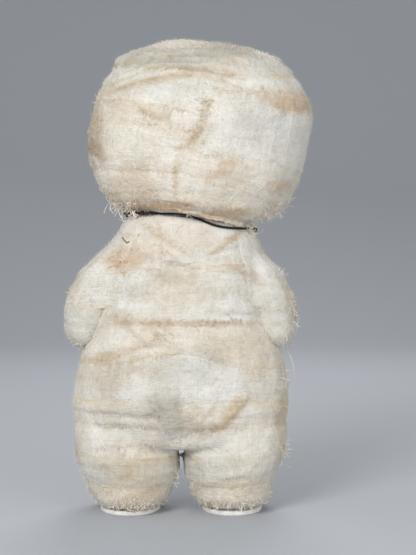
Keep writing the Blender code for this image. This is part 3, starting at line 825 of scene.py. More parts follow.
def fold_at(place):
    """How far the folds on the front raise the cloth at a point, and the painted shadow below them.
    """
    if place.y > FOLD_FRONT:
        return 0.0, 0.0
    lift, painted_shade = 0.0, 0.0
    x, z = as_seen(place)
    for fold in FOLDS:
        dx, dz = fold.x1 - fold.x0, fold.z1 - fold.z0
        run = math.hypot(dx, dz)
        share = within(((x - fold.x0) * dx + (z - fold.z0) * dz) / run**2)
        away_x, away_z = x - fold.x0 - dx * share, z - fold.z0 - dz * share
        off = math.hypot(away_x, away_z) / fold.width
        if off < FOLD_END:
            taper = math.sin(math.pi * (0.12 + 0.76 * share))
            below = away_z < 0 if abs(dx) > abs(dz) else away_x > 0
            slope = off * (FOLD_STEEP if below else FOLD_GENTLE)
            lift += fold.height * MM * taper * math.exp(-(slope**2))
            # Painted shadow in a thin band just below the fold.
            if below:
                painted_shade += FOLD_PAINTED_SHADE * fold.height * taper * bell(off, PAINTED_SHADE_OFF, PAINTED_SHADE_WIDTH)
    return lift, painted_shade


print("folds in the front:", len(FOLDS))

# %% [markdown]
# ## Where a strip runs
#
# A strip is a grid of points: columns along it, rows across it. For each point, a ray is sent out
# from the middle of the form. Where it leaves the core, it is sent back in from outside, and it
# stops at the outermost gauze laid so far. A strip so steps up over the edge of the one below it.

# %% The grid of a strip
HANGING_ROWS = 3
NOISE_RING = 40


class Grid:
    """The sizes of one strip's grid: its columns and rows, and those that hang below it."""

    def __init__(self, strip, number):
        self.strip = strip
        self.form = forms.get(strip.form) or HeadForm(strip)
        self.unit_width = self.form.width if strip.form == "head" else 1.0
        self.closed = strip.sweep >= 360.0
        self.length = math.radians(strip.sweep) * self.form.width
        self.width = (strip.high - strip.low) * self.form.unit * self.unit_width
        self.columns = max(8, round(self.length / strip.cell))
        self.rows = max(4, round(self.width / strip.cell))
        self.hanging = HANGING_ROWS if strip.hang else 0
        self.count = self.columns if self.closed else self.columns + 1
        self.size = self.rows + 1 + self.hanging
        self.seed = Vector((number * 3.7, number * 1.3, 0.5))

    def noise_ring(self, part):
        """A ring for noise to run round, so that a closed strip meets itself."""
        turn = math.tau * part
        return Vector((math.cos(turn), math.sin(turn), 0.0)) * NOISE_RING


print("rows of a hanging edge:", HANGING_ROWS)

# %% [markdown]
# No edge is straight, so three sizes of noise let both edges wander. The ends of an open strip
# are torn. Together they give the angle of each point and its height or latitude.

# %% Edges that wander
WAVES = ((9.0, 1.0), (3.0, 0.6), (1.3, 0.3))
HIGH_EDGE = 50.0
TORN_SIZE, TORN_REACH = 2.5 * MM, 1.7 * MM
FRONT_DEGREES = 38


def edge_waves(grid, part):
    """How far the low and the high edge wander at one column."""
    waves = []
    ring = grid.noise_ring(part)
    for edge in (0.0, HIGH_EDGE):
        if grid.closed:
            at = Vector((ring.x, ring.y, edge)) * (grid.strip.sweep / 360)
        else:
            at = Vector((grid.length / MM * part, edge, 0.0))
        wave = sum(share * noise.noise(at / size + grid.seed) for size, share in WAVES)
        waves.append(wave * grid.strip.wavy)
    return waves


def torn(grid, share, end):
    """How far a torn end reaches at a point across the strip, as a share of the length."""
    spot = Vector((share * grid.width / TORN_SIZE, end, 0.0))
    return TORN_REACH * noise.noise(spot + grid.seed) / grid.length


def angle_of(grid, part, share):
    """The angle of a point."""
    strip = grid.strip
    sweep = strip.sweep * (strip.narrow + (1 - strip.narrow) * share)
    turned = part
    if not grid.closed:
        turned += torn(grid, share, 7.0) * (1 - part) ** 6 + torn(grid, share, 21.0) * part**6
    return math.radians(strip.start + strip.sweep / 2 + sweep * (turned - 0.5))


def across_of(grid, angle, share, waves):
    """The height or latitude of a point."""
    strip = grid.strip
    low, unit = strip.low, grid.form.unit
    across = low * unit + (strip.high - low) * unit * share
    across += strip.rise * math.cos(angle - math.radians(strip.high_side))
    wave = waves[0] * (1 - share) ** 2 + waves[1] * share**2
    from_front = math.degrees(math.atan2(math.sin(angle), math.cos(angle)))
    in_front = math.exp(-((from_front / FRONT_DEGREES) ** 2))
    wave += in_front * (strip.arch_low * (1 - share) + strip.arch_high * share)
    return across + wave / grid.unit_width


print("edges wander in", len(WAVES), "sizes of noise")

# %% [markdown]
# The rays meet the core and the gauze on it through search trees, which find the first hit fast.
# Where an edge hangs free, rows are added below it.

# %% Trace a strip
def tree_of(objects):
    """One search tree over several meshes, to send rays at."""
    points, faces = [], []
    for obj in objects:
        first = len(points)
        points += [vertex.co.copy() for vertex in obj.data.vertices]
        faces += [[first + i for i in face.vertices] for face in obj.data.polygons]
    return BVHTree.FromPolygons(points, faces)


core_trees = {name: tree_of([core]) for name, core in cores.items()}
laid = {name: [] for name in cores}


def rest_on(grid, top_tree, angle, across):
    """A point of the core, how high the gauze on it is, and which way is out."""
    origin, out = grid.form.ray(angle, across)
    hit = core_trees[grid.form.core].ray_cast(origin, out)[0]
    if hit is None:
        hit = origin + out * grid.form.width
    back_off = grid.form.back_off
    top = top_tree.ray_cast(hit + out * back_off, -out, back_off * 1.5)[0]
    return hit, max((top - hit).dot(out), 0.0) if top is not None else 0.0, out


def hang(grid, column, part):
    """Adds rows below a column whose low edge hangs free."""
    strip = grid.strip
    angle = math.radians(strip.start + strip.sweep * part)
    near = 0.5 + 0.5 * math.cos(angle - math.radians(strip.hang_side))
    uneven = 1 + 0.5 * noise.noise(grid.noise_ring(part) / 6 + grid.seed)
    drop = strip.hang * (0.1 + 0.9 * near**3) * uneven
    flat_out = Vector((math.sin(angle), -math.cos(angle), 0.0))
    for _ in range(grid.hanging):
        place, lift, out = column[0]
        column.insert(0, (place - UP * drop / grid.hanging, lift, (out + flat_out).normalized()))


def trace(grid):
    """All columns of a strip, each a list of places, lifts and ways out."""
    top_tree = tree_of([obj for name in grid.form.tops for obj in [cores[name], *laid[name]]])
    columns = []
    for i in range(grid.count):
        part = i / grid.columns
        waves = edge_waves(grid, part)
        column = []
        for share in [j / grid.rows for j in range(grid.rows + 1)]:
            angle = angle_of(grid, part, share)
            column.append(rest_on(grid, top_tree, angle, across_of(grid, angle, share, waves)))
        if grid.hanging:
            hang(grid, column, part)
        columns.append(column)
    return columns


print("search trees:", ", ".join(core_trees))

# %% [markdown]
# ## How a strip lies
#
# Cloth bridges small steps, so the lift found by the rays is blurred, but never goes below what
# the rays found. Pleats and wrinkles are then added as more lift. They run with the strip,
# because it was pulled tight that way. Towards its edges a strip lies flat and gets thinner, as
# damp gauze does when its last threads spread out.

# %% Pleats and wrinkles
PLEAT_WANDER, PLEAT_BEND, PLEAT_PATCH = 0.12, 18.0, 24.0
CREASE_BELOW = 1.2 * MM


def blur(table, closed, passes):
    """A table of lifts with each entry drawn towards its neighbours."""
    for _ in range(passes):
        count, size = len(table), len(table[0])
        fresh = []
        for i in range(count):
            before = table[(i - 1) % count if closed else max(i - 1, 0)]
            after = table[(i + 1) % count if closed else min(i + 1, count - 1)]
            here = table[i]
            line = []
            for j in range(size):
                near = before[j] + after[j] + here[max(j - 1, 0)] + here[min(j + 1, size - 1)]
                line.append((near + 2 * here[j]) / 6)
            fresh.append(line)
        table = fresh
    return table


def ridge(value):
    """Noise turned into sharp creases: 1 where it crosses zero."""
    return 1 - min(abs(value) * 2.4, 1.0)


def pleats_at(grid, ring, share):
    """How far the pleats raise the cloth at a point, and how deep in a crease it lies."""
    lift, crease = 0.0, 0.0
    for pleat in grid.strip.pleats:
        own_seed = grid.seed * (1 + pleat.at)
        wander = noise.noise(ring / PLEAT_BEND + own_seed) * PLEAT_WANDER
        gap = (share - pleat.at - wander) * grid.width
        gap = gap if pleat.upward else -gap
        strength = within(0.5 + noise.noise(ring / PLEAT_PATCH - own_seed) * 1.3)
        if gap >= 0:
            lift += pleat.height * strength * math.exp(-gap / pleat.fade)
        # Just below a pleat the cloth gets painted shade; this measures how much.
        elif gap > -CREASE_BELOW:
            crease = max(crease, strength * (1 + gap / CREASE_BELOW))
    return lift, crease


def wrinkle_at(grid, ring, across, place):
    """The height of the fine wrinkles at a point, in millimetres."""
    drawn = noise.noise(Vector((ring.x / 15, ring.y / 15, across / 2.1)) + grid.seed)
    wider = noise.noise(Vector((ring.x / 9, ring.y / 9, across / 4.5)) - grid.seed)
    small = noise.noise(Vector((ring.x / 3.5, ring.y / 3.5, across / 3.0)) + grid.seed)
    crushed = noise.noise(place / (3.2 * MM))
    wrinkle = 0.14 * ridge(drawn) + 0.34 * (0.5 + 0.5 * wider) + 0.16 * ridge(small)
    return wrinkle + 0.20 * ridge(crushed)


print("creases end", CREASE_BELOW / MM, "mm below a pleat")

# %% [markdown]
# ## Laying a strip
#
# Each point is moved out by its lift. Shade is painted into the creases below pleats, the hollows
# of the wrinkles and the bands below folds, and tea dries darker along an edge, so each point
# also gets a factor for its colour.

# %% Raise and shade the points
EDGE_SINK, EDGE_TEA, TEA_PATCH = 0.24 * MM, 0.30, 11 * MM
THIN_IN, TEA_IN, BRIDGE_IN, PRESS_IN = 1.5 * MM, 1.6 * MM, 2.4 * MM, 2.6 * MM


def raised(grid, columns):
    """The points of a strip, the painted shade and tea of each, and how thick the cloth is there.
    """
    strip, closed, rows, size = grid.strip, grid.closed, grid.rows, grid.size
    lifts = [[lift for _, lift, _ in column] for column in columns]
    eased = blur(lifts, closed, strip.bridging)
    points, painted_shade_and_tea, thickness = [], [], []
    for i, column in enumerate(columns):
        turn = math.radians(strip.sweep * i / grid.columns)
        ring = Vector((math.cos(turn), math.sin(turn), 0.0)) * (grid.form.width / MM)
        for j, (place, rest, out) in enumerate(column):
            share = max(j - grid.hanging, 0) / rows
            edge = min(j, size - 1 - j) * grid.width / rows
            if not closed:
                edge = min(edge, min(i, grid.count - 1 - i) * grid.length / grid.columns)
            press = 1 - math.exp(-edge / PRESS_IN)
            thin = math.exp(-edge / THIN_IN)
            pleat_lift, crease = pleats_at(grid, ring, share)
            wrinkle = wrinkle_at(grid, ring, share * grid.width / MM, place)
            fold_lift, fold_painted_shade = fold_at(place)
            bridge = max(eased[i][j] - rest, 0.0) * (1 - math.exp(-edge / BRIDGE_IN))
            lift = rest + bridge + CLEARANCE + CLOTH - EDGE_SINK * thin
            lift += (pleat_lift + wrinkle * MM) * press + fold_lift * (0.1 + 0.9 * press)
            points.append(place + out * lift)
            thickness.append(1 - thin)
            # Painted shade in the crease below a pleat, in the hollows of the wrinkles and below
            # folds.
            painted_shade = 0.08 * crease + 0.07 * max(0.0, 0.4 - wrinkle) + fold_painted_shade
            soaked = max(0.0, noise.noise(place / TEA_PATCH) + 0.15)
            soaked *= EDGE_TEA * math.exp(-edge / TEA_IN)
            painted_shade_and_tea.append((1 - 0.75 * painted_shade - 0.3 * soaked, 1 - painted_shade - 0.8 * soaked,
                           1 - 1.4 * painted_shade - 1.6 * soaked))
    return points, painted_shade_and_tea, thickness


print("an edge lies", EDGE_SINK / MM, "mm lower than the cloth")

# %% [markdown]
# The grid becomes a mesh with the cloth's own UV map. Its edges are kept for the loose threads,
# and its length and width are measured as laid.

# %% Lay a strip
hems = []


def grid_object(grid, points, painted_shade_and_tea, thickness):
    """A strip's surface, with the cloth's own UV map, its stains and painted shade, and its
    thickness.
    """
    name, size = grid.strip.name, grid.size
    faces, uvs = [], []
    for i in range(grid.count if grid.closed else grid.count - 1):
        k = (i + 1) % grid.count
        for j in range(size - 1):
            faces.append((i * size + j, k * size + j, k * size + j + 1, i * size + j + 1))
            for a, b in ((i, j), (i + 1, j), (i + 1, j + 1), (i, j + 1)):
                uvs += [a / grid.columns * grid.length, b / grid.rows * grid.width]
    mesh = bpy.data.meshes.new(name)
    mesh.from_pydata(points, [], faces)
    mesh.uv_layers.new(name="Weave").data.foreach_set("uv", uvs)
    paint(mesh, painted_shade_and_tea)
    obj = add_object(name + "_gauze", mesh)
    thick = obj.vertex_groups.new(name="Thick")
    for index, weight in enumerate(thickness):
        thick.add([index], weight, "REPLACE")
    return obj


def keep_hem(indices, inner, points, outs, closed, amount):
    """Keeps one edge of a strip, with which way is away from the cloth and which is out."""
    line = []
    for index, within_cloth in zip(indices, inner):
        away = (points[index] - points[within_cloth]).normalized()
        line.append((points[index], away, outs[index]))
    hems.append((line, closed, amount))


def lay(strip):
    """Lays one strip over the core and the gauze already there. Returns its real size too."""
    grid = Grid(strip, len(hems))
    columns = trace(grid)
    points, painted_shade_and_tea, thickness = raised(grid, columns)
    obj = grid_object(grid, points, painted_shade_and_tea, thickness)
    laid[grid.form.tops[-1]].append(obj)

    size, count, closed = grid.size, grid.count, grid.closed
    outs = [out for column in columns for _, _, out in column]
    for j, inner, amount in ((0, 1, strip.fray_low), (size - 1, size - 2, strip.fray_high)):
        edge = [i * size + j for i in range(count)]
        keep_hem(edge, [i * size + inner for i in range(count)], points, outs, closed, amount)
    if not closed:
        amount = max(strip.fray_low, strip.fray_high)
        for i, inner in ((0, 1), (count - 1, count - 2)):
            edge = [i * size + j for j in range(size)]
            keep_hem(edge, [inner * size + j for j in range(size)], points, outs, False, amount)

    middle = [points[i * size + size // 2] for i in range(count)]
    loop = middle + middle[:1] if closed else middle
    run = sum((b - a).length for a, b in zip(loop, loop[1:]))
    rise = sum((points[j + 1] - points[j]).length for j in range(size - 1))
    return obj, run, rise


print("forms to lay strips on:", len(forms) + 1)

# %% [markdown]
# ## The winding
#
# The strips are listed in the order in which they are laid. Each stands for the strip of the
# frame that has its name. The head has crown turns, a brow band, pieces at the temples, a wide
# band over the cheeks and two at the jaw. The body has two slanting yokes and four bands, and
# each limb two wraps.

# %% Wind the doll
LEFT, RIGHT = -90.0, 90.0
STRIPS = [
    Strip("crown_over_strip", "gauze_grey", "head", -18, 18, 120, 120, over_crown=True,
          pleats=(Pleat(0.4), Pleat(0.7))),
    Strip("temple_strip_left", "gauze_cream", "head", -9, 17, -166, 148, side_tilt=3,
          pleats=(Pleat(0.30), Pleat(0.62, 0.7 * MM)), fray_low=0.4, fray_high=0.8),
    Strip("jaw_band", "gauze_warm", "head", -48, -27, side_tilt=2,
          pleats=(Pleat(0.35, 0.8 * MM),), fray_low=1.4),
    Strip("crown_turn_top", "gauze_cream", "head", 49, 76, side_tilt=2, front_tilt=4,
          arch_low=4 * MM, cell=0.8 * MM, pleats=(Pleat(0.35, 1.0 * MM), Pleat(0.7, 0.8 * MM))),
    Strip("brow_band", "gauze_pale", "head", 12, 41, side_tilt=4, front_tilt=2,
          pleats=(Pleat(0.18, 0.8 * MM), Pleat(0.45, 0.6 * MM), Pleat(0.75, 0.9 * MM)),
          fray_low=0.9),
    Strip("cheek_band", "gauze_cream", "head", -31, -5, side_tilt=5, front_tilt=-3,
          pleats=(Pleat(0.25, 0.9 * MM), Pleat(0.6, 0.7 * MM)), fray_low=0.6, fray_high=0.6),
    Strip("chin_strip", "gauze_brown", "head", -50, -38, -80, 160,
          pleats=(Pleat(0.5, 0.6 * MM),), fray_low=2.8, hang=3.5 * MM, hang_side=60),
    Strip("crown_turn_low", "gauze_grey", "head", 35, 55, side_tilt=-3, front_tilt=3,
          arch_low=5 * MM, arch_high=5 * MM, cell=0.75 * MM,
          pleats=(Pleat(0.22, 1.0 * MM), Pleat(0.48, 1.1 * MM), Pleat(0.74, 0.9 * MM)),
          fray_low=0.4),
    Strip("temple_patch_right", "gauze_pale", "head", -13, 26, 6, 147,
          pleats=(Pleat(0.30, 0.5 * MM), Pleat(0.80, 0.4 * MM)), fray_low=0.7, fray_high=0.8),
    Strip("chest_band", "gauze_pale", "body", 96.5 * MM, 128.5 * MM, rise=1.5 * MM,
          high_side=RIGHT, pleats=(Pleat(0.22, 0.7 * MM), Pleat(0.55, 0.5 * MM)), fray_low=0.8),
    Strip("belly_band", "gauze_pale", "body", 55.5 * MM, 80 * MM, rise=1.5 * MM,
          high_side=RIGHT, arch_high=12 * MM,
          pleats=(Pleat(0.25, 0.8 * MM), Pleat(0.6, 0.8 * MM, upward=False))),
    Strip("waist_band", "gauze_cream", "body", 76 * MM, 100.5 * MM, rise=1.5 * MM,
          high_side=LEFT, arch_low=8 * MM,
          pleats=(Pleat(0.3, 0.9 * MM), Pleat(0.72, 0.9 * MM, upward=False)), fray_high=1.0),
    Strip("yoke_strip_left", "gauze_cream", "body", 126.5 * MM, 139.5 * MM, rise=5 * MM,
          high_side=-75.0, arch_high=-9 * MM, pleats=(Pleat(0.4, 0.9 * MM),)),
    Strip("hip_band", "gauze_warm", "body", 46 * MM, 59.5 * MM, rise=0.8 * MM, high_side=LEFT,
          pleats=(Pleat(0.5, 0.9 * MM),), fray_low=0.8),
    Strip("yoke_strip_right", "gauze_pale", "body", 126.5 * MM, 139.5 * MM, rise=4.5 * MM,
          high_side=65.0, arch_high=-8 * MM, pleats=(Pleat(0.55, 0.9 * MM),)),
]
for side, label in ((LEFT, "left"), (RIGHT, "right")):
    STRIPS += [
        Strip(f"foot_wrap_{label}", "gauze_brown", f"leg_{label}", 5.0 * MM, 19.5 * MM,
              rise=0.8 * MM, high_side=-side, pleats=(Pleat(0.5, 0.7 * MM),),
              fray_low=1.8, wavy=0.7 * MM),
        Strip(f"thigh_wrap_{label}", "gauze_grey", f"leg_{label}", 15.5 * MM, 30.5 * MM,
              rise=1.0 * MM, high_side=side, pleats=(Pleat(0.35, 0.8 * MM), Pleat(0.72, 0.7 * MM)),
              fray_low=0.8, wavy=0.7 * MM),
        Strip(f"hand_wrap_{label}", "gauze_grey", f"arm_{label}", 87 * MM, 110 * MM,
              side - 130, 260, rise=1.5 * MM, high_side=side, pleats=(Pleat(0.5, 0.6 * MM),),
              fray_low=1.0),
        Strip(f"sleeve_wrap_{label}", "gauze_pale", f"shoulder_{label}", 106 * MM, 144 * MM,
              side - 40, 80, narrow=0.66, bridging=16,
              pleats=(Pleat(0.45, 0.7 * MM),), fray_low=0.9),
    ]

sheets = [(strip, *lay(strip)) for strip in STRIPS]
print("strips laid:", len(sheets))
print("faces:", sum(len(obj.data.polygons) for _, obj, _, _ in sheets))

# %% [markdown]
# ## Where threads come loose
#
# Gauze frays: along every cut edge the last threads come away and stick out. They break up each
# edge and give the doll its fuzzy outline, so they matter more to the eye than the strips' own
# edges. Where another strip covers an edge, nothing shows, so a ray is sent outwards from each
# place to find out.
#
# Each loose thread starts as one point that knows which way its thread goes and how long it is.

# %% Places for loose threads
rng = random.Random(11)
everything = tree_of([obj for group in laid.values() for obj in group] + list(cores.values()))
loose = {"head": [], "body": []}
LOOK_FROM, LOOK_OUT = 0.45 * MM, 12 * MM
CORD_LEFT, CORD_RIGHT = -29 * MM, 33 * MM
CORD_LOW, CORD_HIGH = 143 * MM, 159 * MM
CORD_FRONT = -10 * MM


class Loose(NamedTuple):
    """A loose thread: where it starts, which way it goes and how far."""

    place: Vector
    along: Vector
    reach: float


def covered(place, out):
    """True where other gauze lies over a place."""
    start = place + out * LOOK_FROM
    return everything.ray_cast(start, out, LOOK_OUT)[0] is not None


def by_the_cord(place):
    """True on the front where the cord is tied. The cord holds the threads down there."""
    inside = CORD_LEFT < place.x < CORD_RIGHT and CORD_LOW < place.z < CORD_HIGH
    return inside and place.y < CORD_FRONT


def keep_loose(thread, border=NECK_TOP):
    """Keeps a loose thread with those of the head or with those of the body."""
    loose["head" if thread.place.z > border else "body"].append(thread)


print("places are tried against", len(STRIPS), "strips")

# %% [markdown]
# Threads come away in clusters, a few millimetres apart. How many they are, which way they lean
# and how long they are is drawn at random, but always from the same seed.

# %% Fray the edges
FRAY_DENSITY, FRAY_REACH, LONGEST_FRAY = 2.1 / MM, 1.6 * MM, 6 * MM
CLUSTER_SIZE, ROOTED, COLLAR = 6 * MM, 0.5 * MM, 3 * MM


def fray(line, closed, amount):
    """Loose threads along one edge of a strip."""
    found = []
    ends = line + line[:1] if closed else line
    for (a, away_a, out), (b, _, _) in zip(ends, ends[1:]):
        step = b - a
        cluster = 0.45 + 1.5 * max(0.0, noise.noise(a / CLUSTER_SIZE) + 0.25)
        wanted = step.length * FRAY_DENSITY * amount * cluster
        for _ in range(int(wanted) + (rng.random() < wanted % 1)):
            place = a + step * rng.random() - away_a * ROOTED
            if covered(place, out) or by_the_cord(place):
                continue
            side = step.normalized() * rng.gauss(0, 0.6)
            along = (away_a + side + out * rng.gauss(0.16, 0.16)).normalized()
            reach = FRAY_REACH * rng.lognormvariate(0, 0.45) * (0.7 + 0.4 * amount) * cluster**0.5
            found.append(Loose(place, along, min(reach, LONGEST_FRAY)))
    return found


for line, closed, amount in hems:
    for thread in fray(line, closed, amount):
        keep_loose(thread, NECK_TOP - COLLAR)
print("frayed threads:", {name: len(found) for name, found in loose.items()})

# %% [markdown]
# In a few places the doll is worn right through, and a tuft of threads stands out. Each tuft has
# a place as seen from the front, a size, and a direction in which its threads lean.

# %% Tufts
class Tuft(NamedTuple):
    """A tuft on the front: its middle, its reach, and its threads. Lengths in millimetres.

    Lean is the direction of its threads. Spread is how far curled yarns turn from it, in radians.
    """

    x: float
    z: float
    reach_x: float
    reach_z: float
    count: int
    length: float
    lean_x: float = 0.0
    lean_z: float = -0.3
    spread: float = 0.6


TUFTS = (
    Tuft(-34, 155, 5, 4, 130, 4.6, -1.1, -0.5),
    Tuft(44, 155, 8, 4, 100, 3.2, 0.6, -0.9),
    Tuft(-22, 205, 4, 5, 24, 2.0),
    Tuft(8, 211, 3, 9, 80, 2.6, -0.5, -0.3),
    Tuft(4, 196, 4, 7, 40, 2.2),
    Tuft(-46, 199, 4, 6, 50, 1.8),
    Tuft(-14, 91, 7, 6, 80, 1.8),
    Tuft(-37, 129, 4, 6, 80, 1.8),
    Tuft(49, 125, 1.5, 4, 40, 2.0, 0.5, 0.8),
    Tuft(55, 103, 3, 9, 50, 1.8, 0.6, -0.5),
    Tuft(49, 31, 3, 5, 60, 3.0, 0.8, -0.3),
    Tuft(-6, 19, 2, 4, 30, 2.4, 0.6, -0.4),
    Tuft(-22, 33, 5, 3, 40, 2.0),
    Tuft(-27, 153, 3, 2, 40, 2.6),
    Tuft(32, 146, 4, 3, 80, 2.6, 0.2, -0.4),
    Tuft(-31, 5, 16, 3.5, 120, 1.9, -0.1, -0.5),
    Tuft(22, 5, 16, 3.5, 120, 1.9, 0.1, -0.5),
)
for tuft in TUFTS:
    for _ in range(tuft.count):
        x = tuft.x + rng.gauss(0, tuft.reach_x / 2)
        z = tuft.z + rng.gauss(0, tuft.reach_z / 2)
        place, normal = meet(everything, x, z)
        if place is None:
            continue
        lean_x = tuft.lean_x + rng.gauss(0, 0.7)
        along = Vector((lean_x, rng.gauss(0, 0.3), tuft.lean_z + rng.gauss(0, 0.6)))
        along = (along + normal * abs(rng.gauss(0.35, 0.3))).normalized()
        reach = tuft.length * MM * rng.lognormvariate(-0.1, 0.4)
        keep_loose(Loose(place, along, reach))
print("threads with tufts:", {name: len(found) for name, found in loose.items()})

# %% [markdown]
# Torn edges also run across the strips. Each tear is a line on the front, given by the points it
# goes through as seen, with short threads that point down from it.

# %% Tears
TEARS = (
    ((-25, 152), (1, 135)),
    ((29, 146), (11, 134)),
    ((22, 129), (31, 124), (36, 117.5)),
    ((-6.6, 183), (-6.6, 167.5), (-1.4, 162)),
    ((-50, 201), (-45, 193)),
    ((-52, 190), (-43, 184)),
    ((-34, 99), (6, 97), (22, 95), (37, 97)),
    ((-55, 76), (-16, 88.5), (-10, 86), (8, 84), (15, 80.5)),
    ((9, 105.6), (36, 103)),
    ((2, 11), (30, 20), (44, 34)),
    ((-4, 35), (21, 31)),
    ((-48, 33), (-20, 35)),
    ((-25, 210), (-18.5, 201)),
    ((12, 219), (6.4, 203), (0.7, 195)),
    ((12, 220.5), (21, 218), (41, 217.5)),
    ((-20, 57), (-7, 36.5)),
    ((1, 57), (-5.5, 36.5)),
    ((10.6, 38.5), (30, 59)),
    ((-50, 46), (-14, 43)),
)
TEAR_DENSITY, TEAR_REACH = 1.5 / MM, 1.5 * MM
TEAR_BEND, TEAR_WANDER, TEAR_WIDTH = 4, 1.1, 0.4
for tear in TEARS:
    for (x0, z0), (x1, z1) in zip(tear, tear[1:]):
        run = math.hypot(x1 - x0, z1 - z0)
        down_x, down_z = (z1 - z0) / run, (x0 - x1) / run
        if down_z > 0:
            down_x, down_z = -down_x, -down_z
        for _ in range(round(run * MM * TEAR_DENSITY)):
            share = rng.random()
            wander = noise.noise(Vector((share * run / TEAR_BEND, x0, z0)))
            off = rng.gauss(0, TEAR_WIDTH) + TEAR_WANDER * wander
            x = x0 + (x1 - x0) * share + down_x * off
            z = z0 + (z1 - z0) * share + down_z * off
            place, normal = meet(everything, x, z)
            if place is None:
                continue
            along = Vector((down_x + rng.gauss(0, 0.8), 0.0, down_z + rng.gauss(0, 0.8)))
            along = (along + normal * abs(rng.gauss(0.25, 0.2))).normalized()
            keep_loose(Loose(place, along, TEAR_REACH * rng.lognormvariate(-0.1, 0.4)))
print("threads with tears:", {name: len(found) for name, found in loose.items()})

# %% [markdown]
# ## Threads by Geometry Nodes
#
# One node tree turns points into threads. A short straight line is instanced on each point, turned
# along the point's direction and scaled to its length. Once the instances are real, noise bends
# each line, more towards its tip. A three-sided profile then gives it thickness.
#
# The same tree makes the fine fuzz of the cotton. There the points are scattered on the cloth
# itself, and each fibre leans out from it in a random direction. A cotton fibre is a flat ribbon
# under a magnifying glass, so its profile is a short line.

# %% Roots and curls
FIBRE_LEAN = 1.3
SHORTEST, LONGEST = 0.5, 1.5


def scattered_roots(tree, given):
    """Points scattered on the faces, with the way and the length of the fibre on each."""
    dots = node(tree, "GeometryNodeDistributePointsOnFaces",
                {"Mesh": given["Geometry"], "Density": given["Density"], "Seed": given["Seed"]})
    low, high = (-FIBRE_LEAN,) * 3, (FIBRE_LEAN,) * 3
    shaken = node(tree, "FunctionNodeRandomValue", {0: low, 1: high, "Seed": given["Seed"]},
                  data_type="FLOAT_VECTOR")
    along = node(tree, "ShaderNodeVectorMath", {0: dots.outputs["Normal"], 1: shaken},
                 operation="ADD")
    sized = node(tree, "FunctionNodeRandomValue",
                 {2: SHORTEST, 3: LONGEST, "Seed": given["Seed"]}, data_type="FLOAT").outputs[1]
    reach = node(tree, "ShaderNodeMath", {0: sized, 1: given["Length"]},
                 operation="MULTIPLY")
    return dots.outputs["Points"], along, reach


def given_roots(tree, given):
    """The mesh's own points, with the way and the length that each of them carries."""
    along = node(tree, "GeometryNodeInputNamedAttribute", {"Name": "along"},
                 data_type="FLOAT_VECTOR")
    reach = node(tree, "GeometryNodeInputNamedAttribute", {"Name": "reach"},
                 data_type="FLOAT")
    return given["Geometry"], along, reach


def curled_lines(tree, given, real):
    """The lines bent with noise, more towards their tips."""
    share = node(tree, "GeometryNodeSplineParameter").outputs["Factor"]
    position = node(tree, "GeometryNodeInputPosition")
    place = node(tree, "ShaderNodeVectorMath", {0: position, 1: given["Curl Size"]},
                 operation="DIVIDE")
    wave = node(tree, "ShaderNodeTexNoise", {"Vector": place, "Scale": 1.0, "Detail": 1.0})
    centred = node(tree, "ShaderNodeVectorMath", {0: wave.outputs["Color"], 1: (0.5, 0.5, 0.5)},
                   operation="SUBTRACT")
    amount = node(tree, "ShaderNodeMath", {0: share, 1: given["Curl"]},
                  operation="MULTIPLY")
    shift = node(tree, "ShaderNodeVectorMath", {0: centred, "Scale": amount},
                 operation="SCALE")
    return node(tree, "GeometryNodeSetPosition", {"Geometry": real, "Offset": shift})


print("a fibre is", SHORTEST, "to", LONGEST, "times its given length")

# %% [markdown]
# The tree's inputs come first. It then chooses its roots, grows a line on each, curls the lines
# and gives them thickness.

# %% The thread tree
def thread_tree(name, scattered):
    """A node tree that grows threads: on a mesh's points, or scattered on its faces."""
    tree = bpy.data.node_groups.new(name, "GeometryNodeTree")
    sockets = tree.interface
    sockets.new_socket("Geometry", in_out="INPUT", socket_type="NodeSocketGeometry")
    for label, kind in (("Thread Radius", "Float"), ("Curl", "Float"), ("Curl Size", "Float"),
                        ("Density", "Float"), ("Length", "Float"), ("Seed", "Int"),
                        ("Thread", "Material")):
        sockets.new_socket(label, in_out="INPUT", socket_type=f"NodeSocket{kind}")
    sockets.new_socket("Geometry", in_out="OUTPUT", socket_type="NodeSocketGeometry")
    given = node(tree, "NodeGroupInput").outputs
    points, along, reach = (scattered_roots if scattered else given_roots)(tree, given)

    line = node(tree, "GeometryNodeCurvePrimitiveLine", {"End": (0.0, 0.0, 1.0)})
    steps = node(tree, "GeometryNodeResampleCurve", {"Curve": line,
                                                     "Count": 4 if scattered else 5})
    turned = node(tree, "FunctionNodeAlignRotationToVector", {"Vector": along}, axis="Z")
    copies = node(tree, "GeometryNodeInstanceOnPoints",
                  {"Points": points, "Instance": steps,
                   "Rotation": turned, "Scale": reach})
    real = node(tree, "GeometryNodeRealizeInstances", {0: copies})
    bent = curled_lines(tree, given, real)
    if scattered:
        across = node(tree, "ShaderNodeCombineXYZ", {0: given["Thread Radius"]})
        profile = node(tree, "GeometryNodeCurvePrimitiveLine", {"End": across})
    else:
        profile = node(tree, "GeometryNodeCurvePrimitiveCircle",
                       {"Resolution": 3, "Radius": given["Thread Radius"]})
    tube = node(tree, "GeometryNodeCurveToMesh",
                {"Curve": bent, "Profile Curve": profile, "Fill Caps": True})
    made = node(tree, "GeometryNodeRealizeInstances", {0: tube})
    dyed = node(tree, "GeometryNodeSetMaterial",
                {"Geometry": made, "Material": given["Thread"]})
    node(tree, "NodeGroupOutput", {"Geometry": dyed})
    return tree


trees = {"frays": thread_tree("frayed threads", False), "fuzz": thread_tree("cotton fuzz", True)}
print("thread trees:", ", ".join(trees))

# %% [markdown]
# The threads are kept as plain meshes, so that the exported doll has them too. A thread end that
# would go through the floor is lifted onto it.

# %% Grow the frayed threads
FLOOR_CLEARANCE = 0.05 * MM


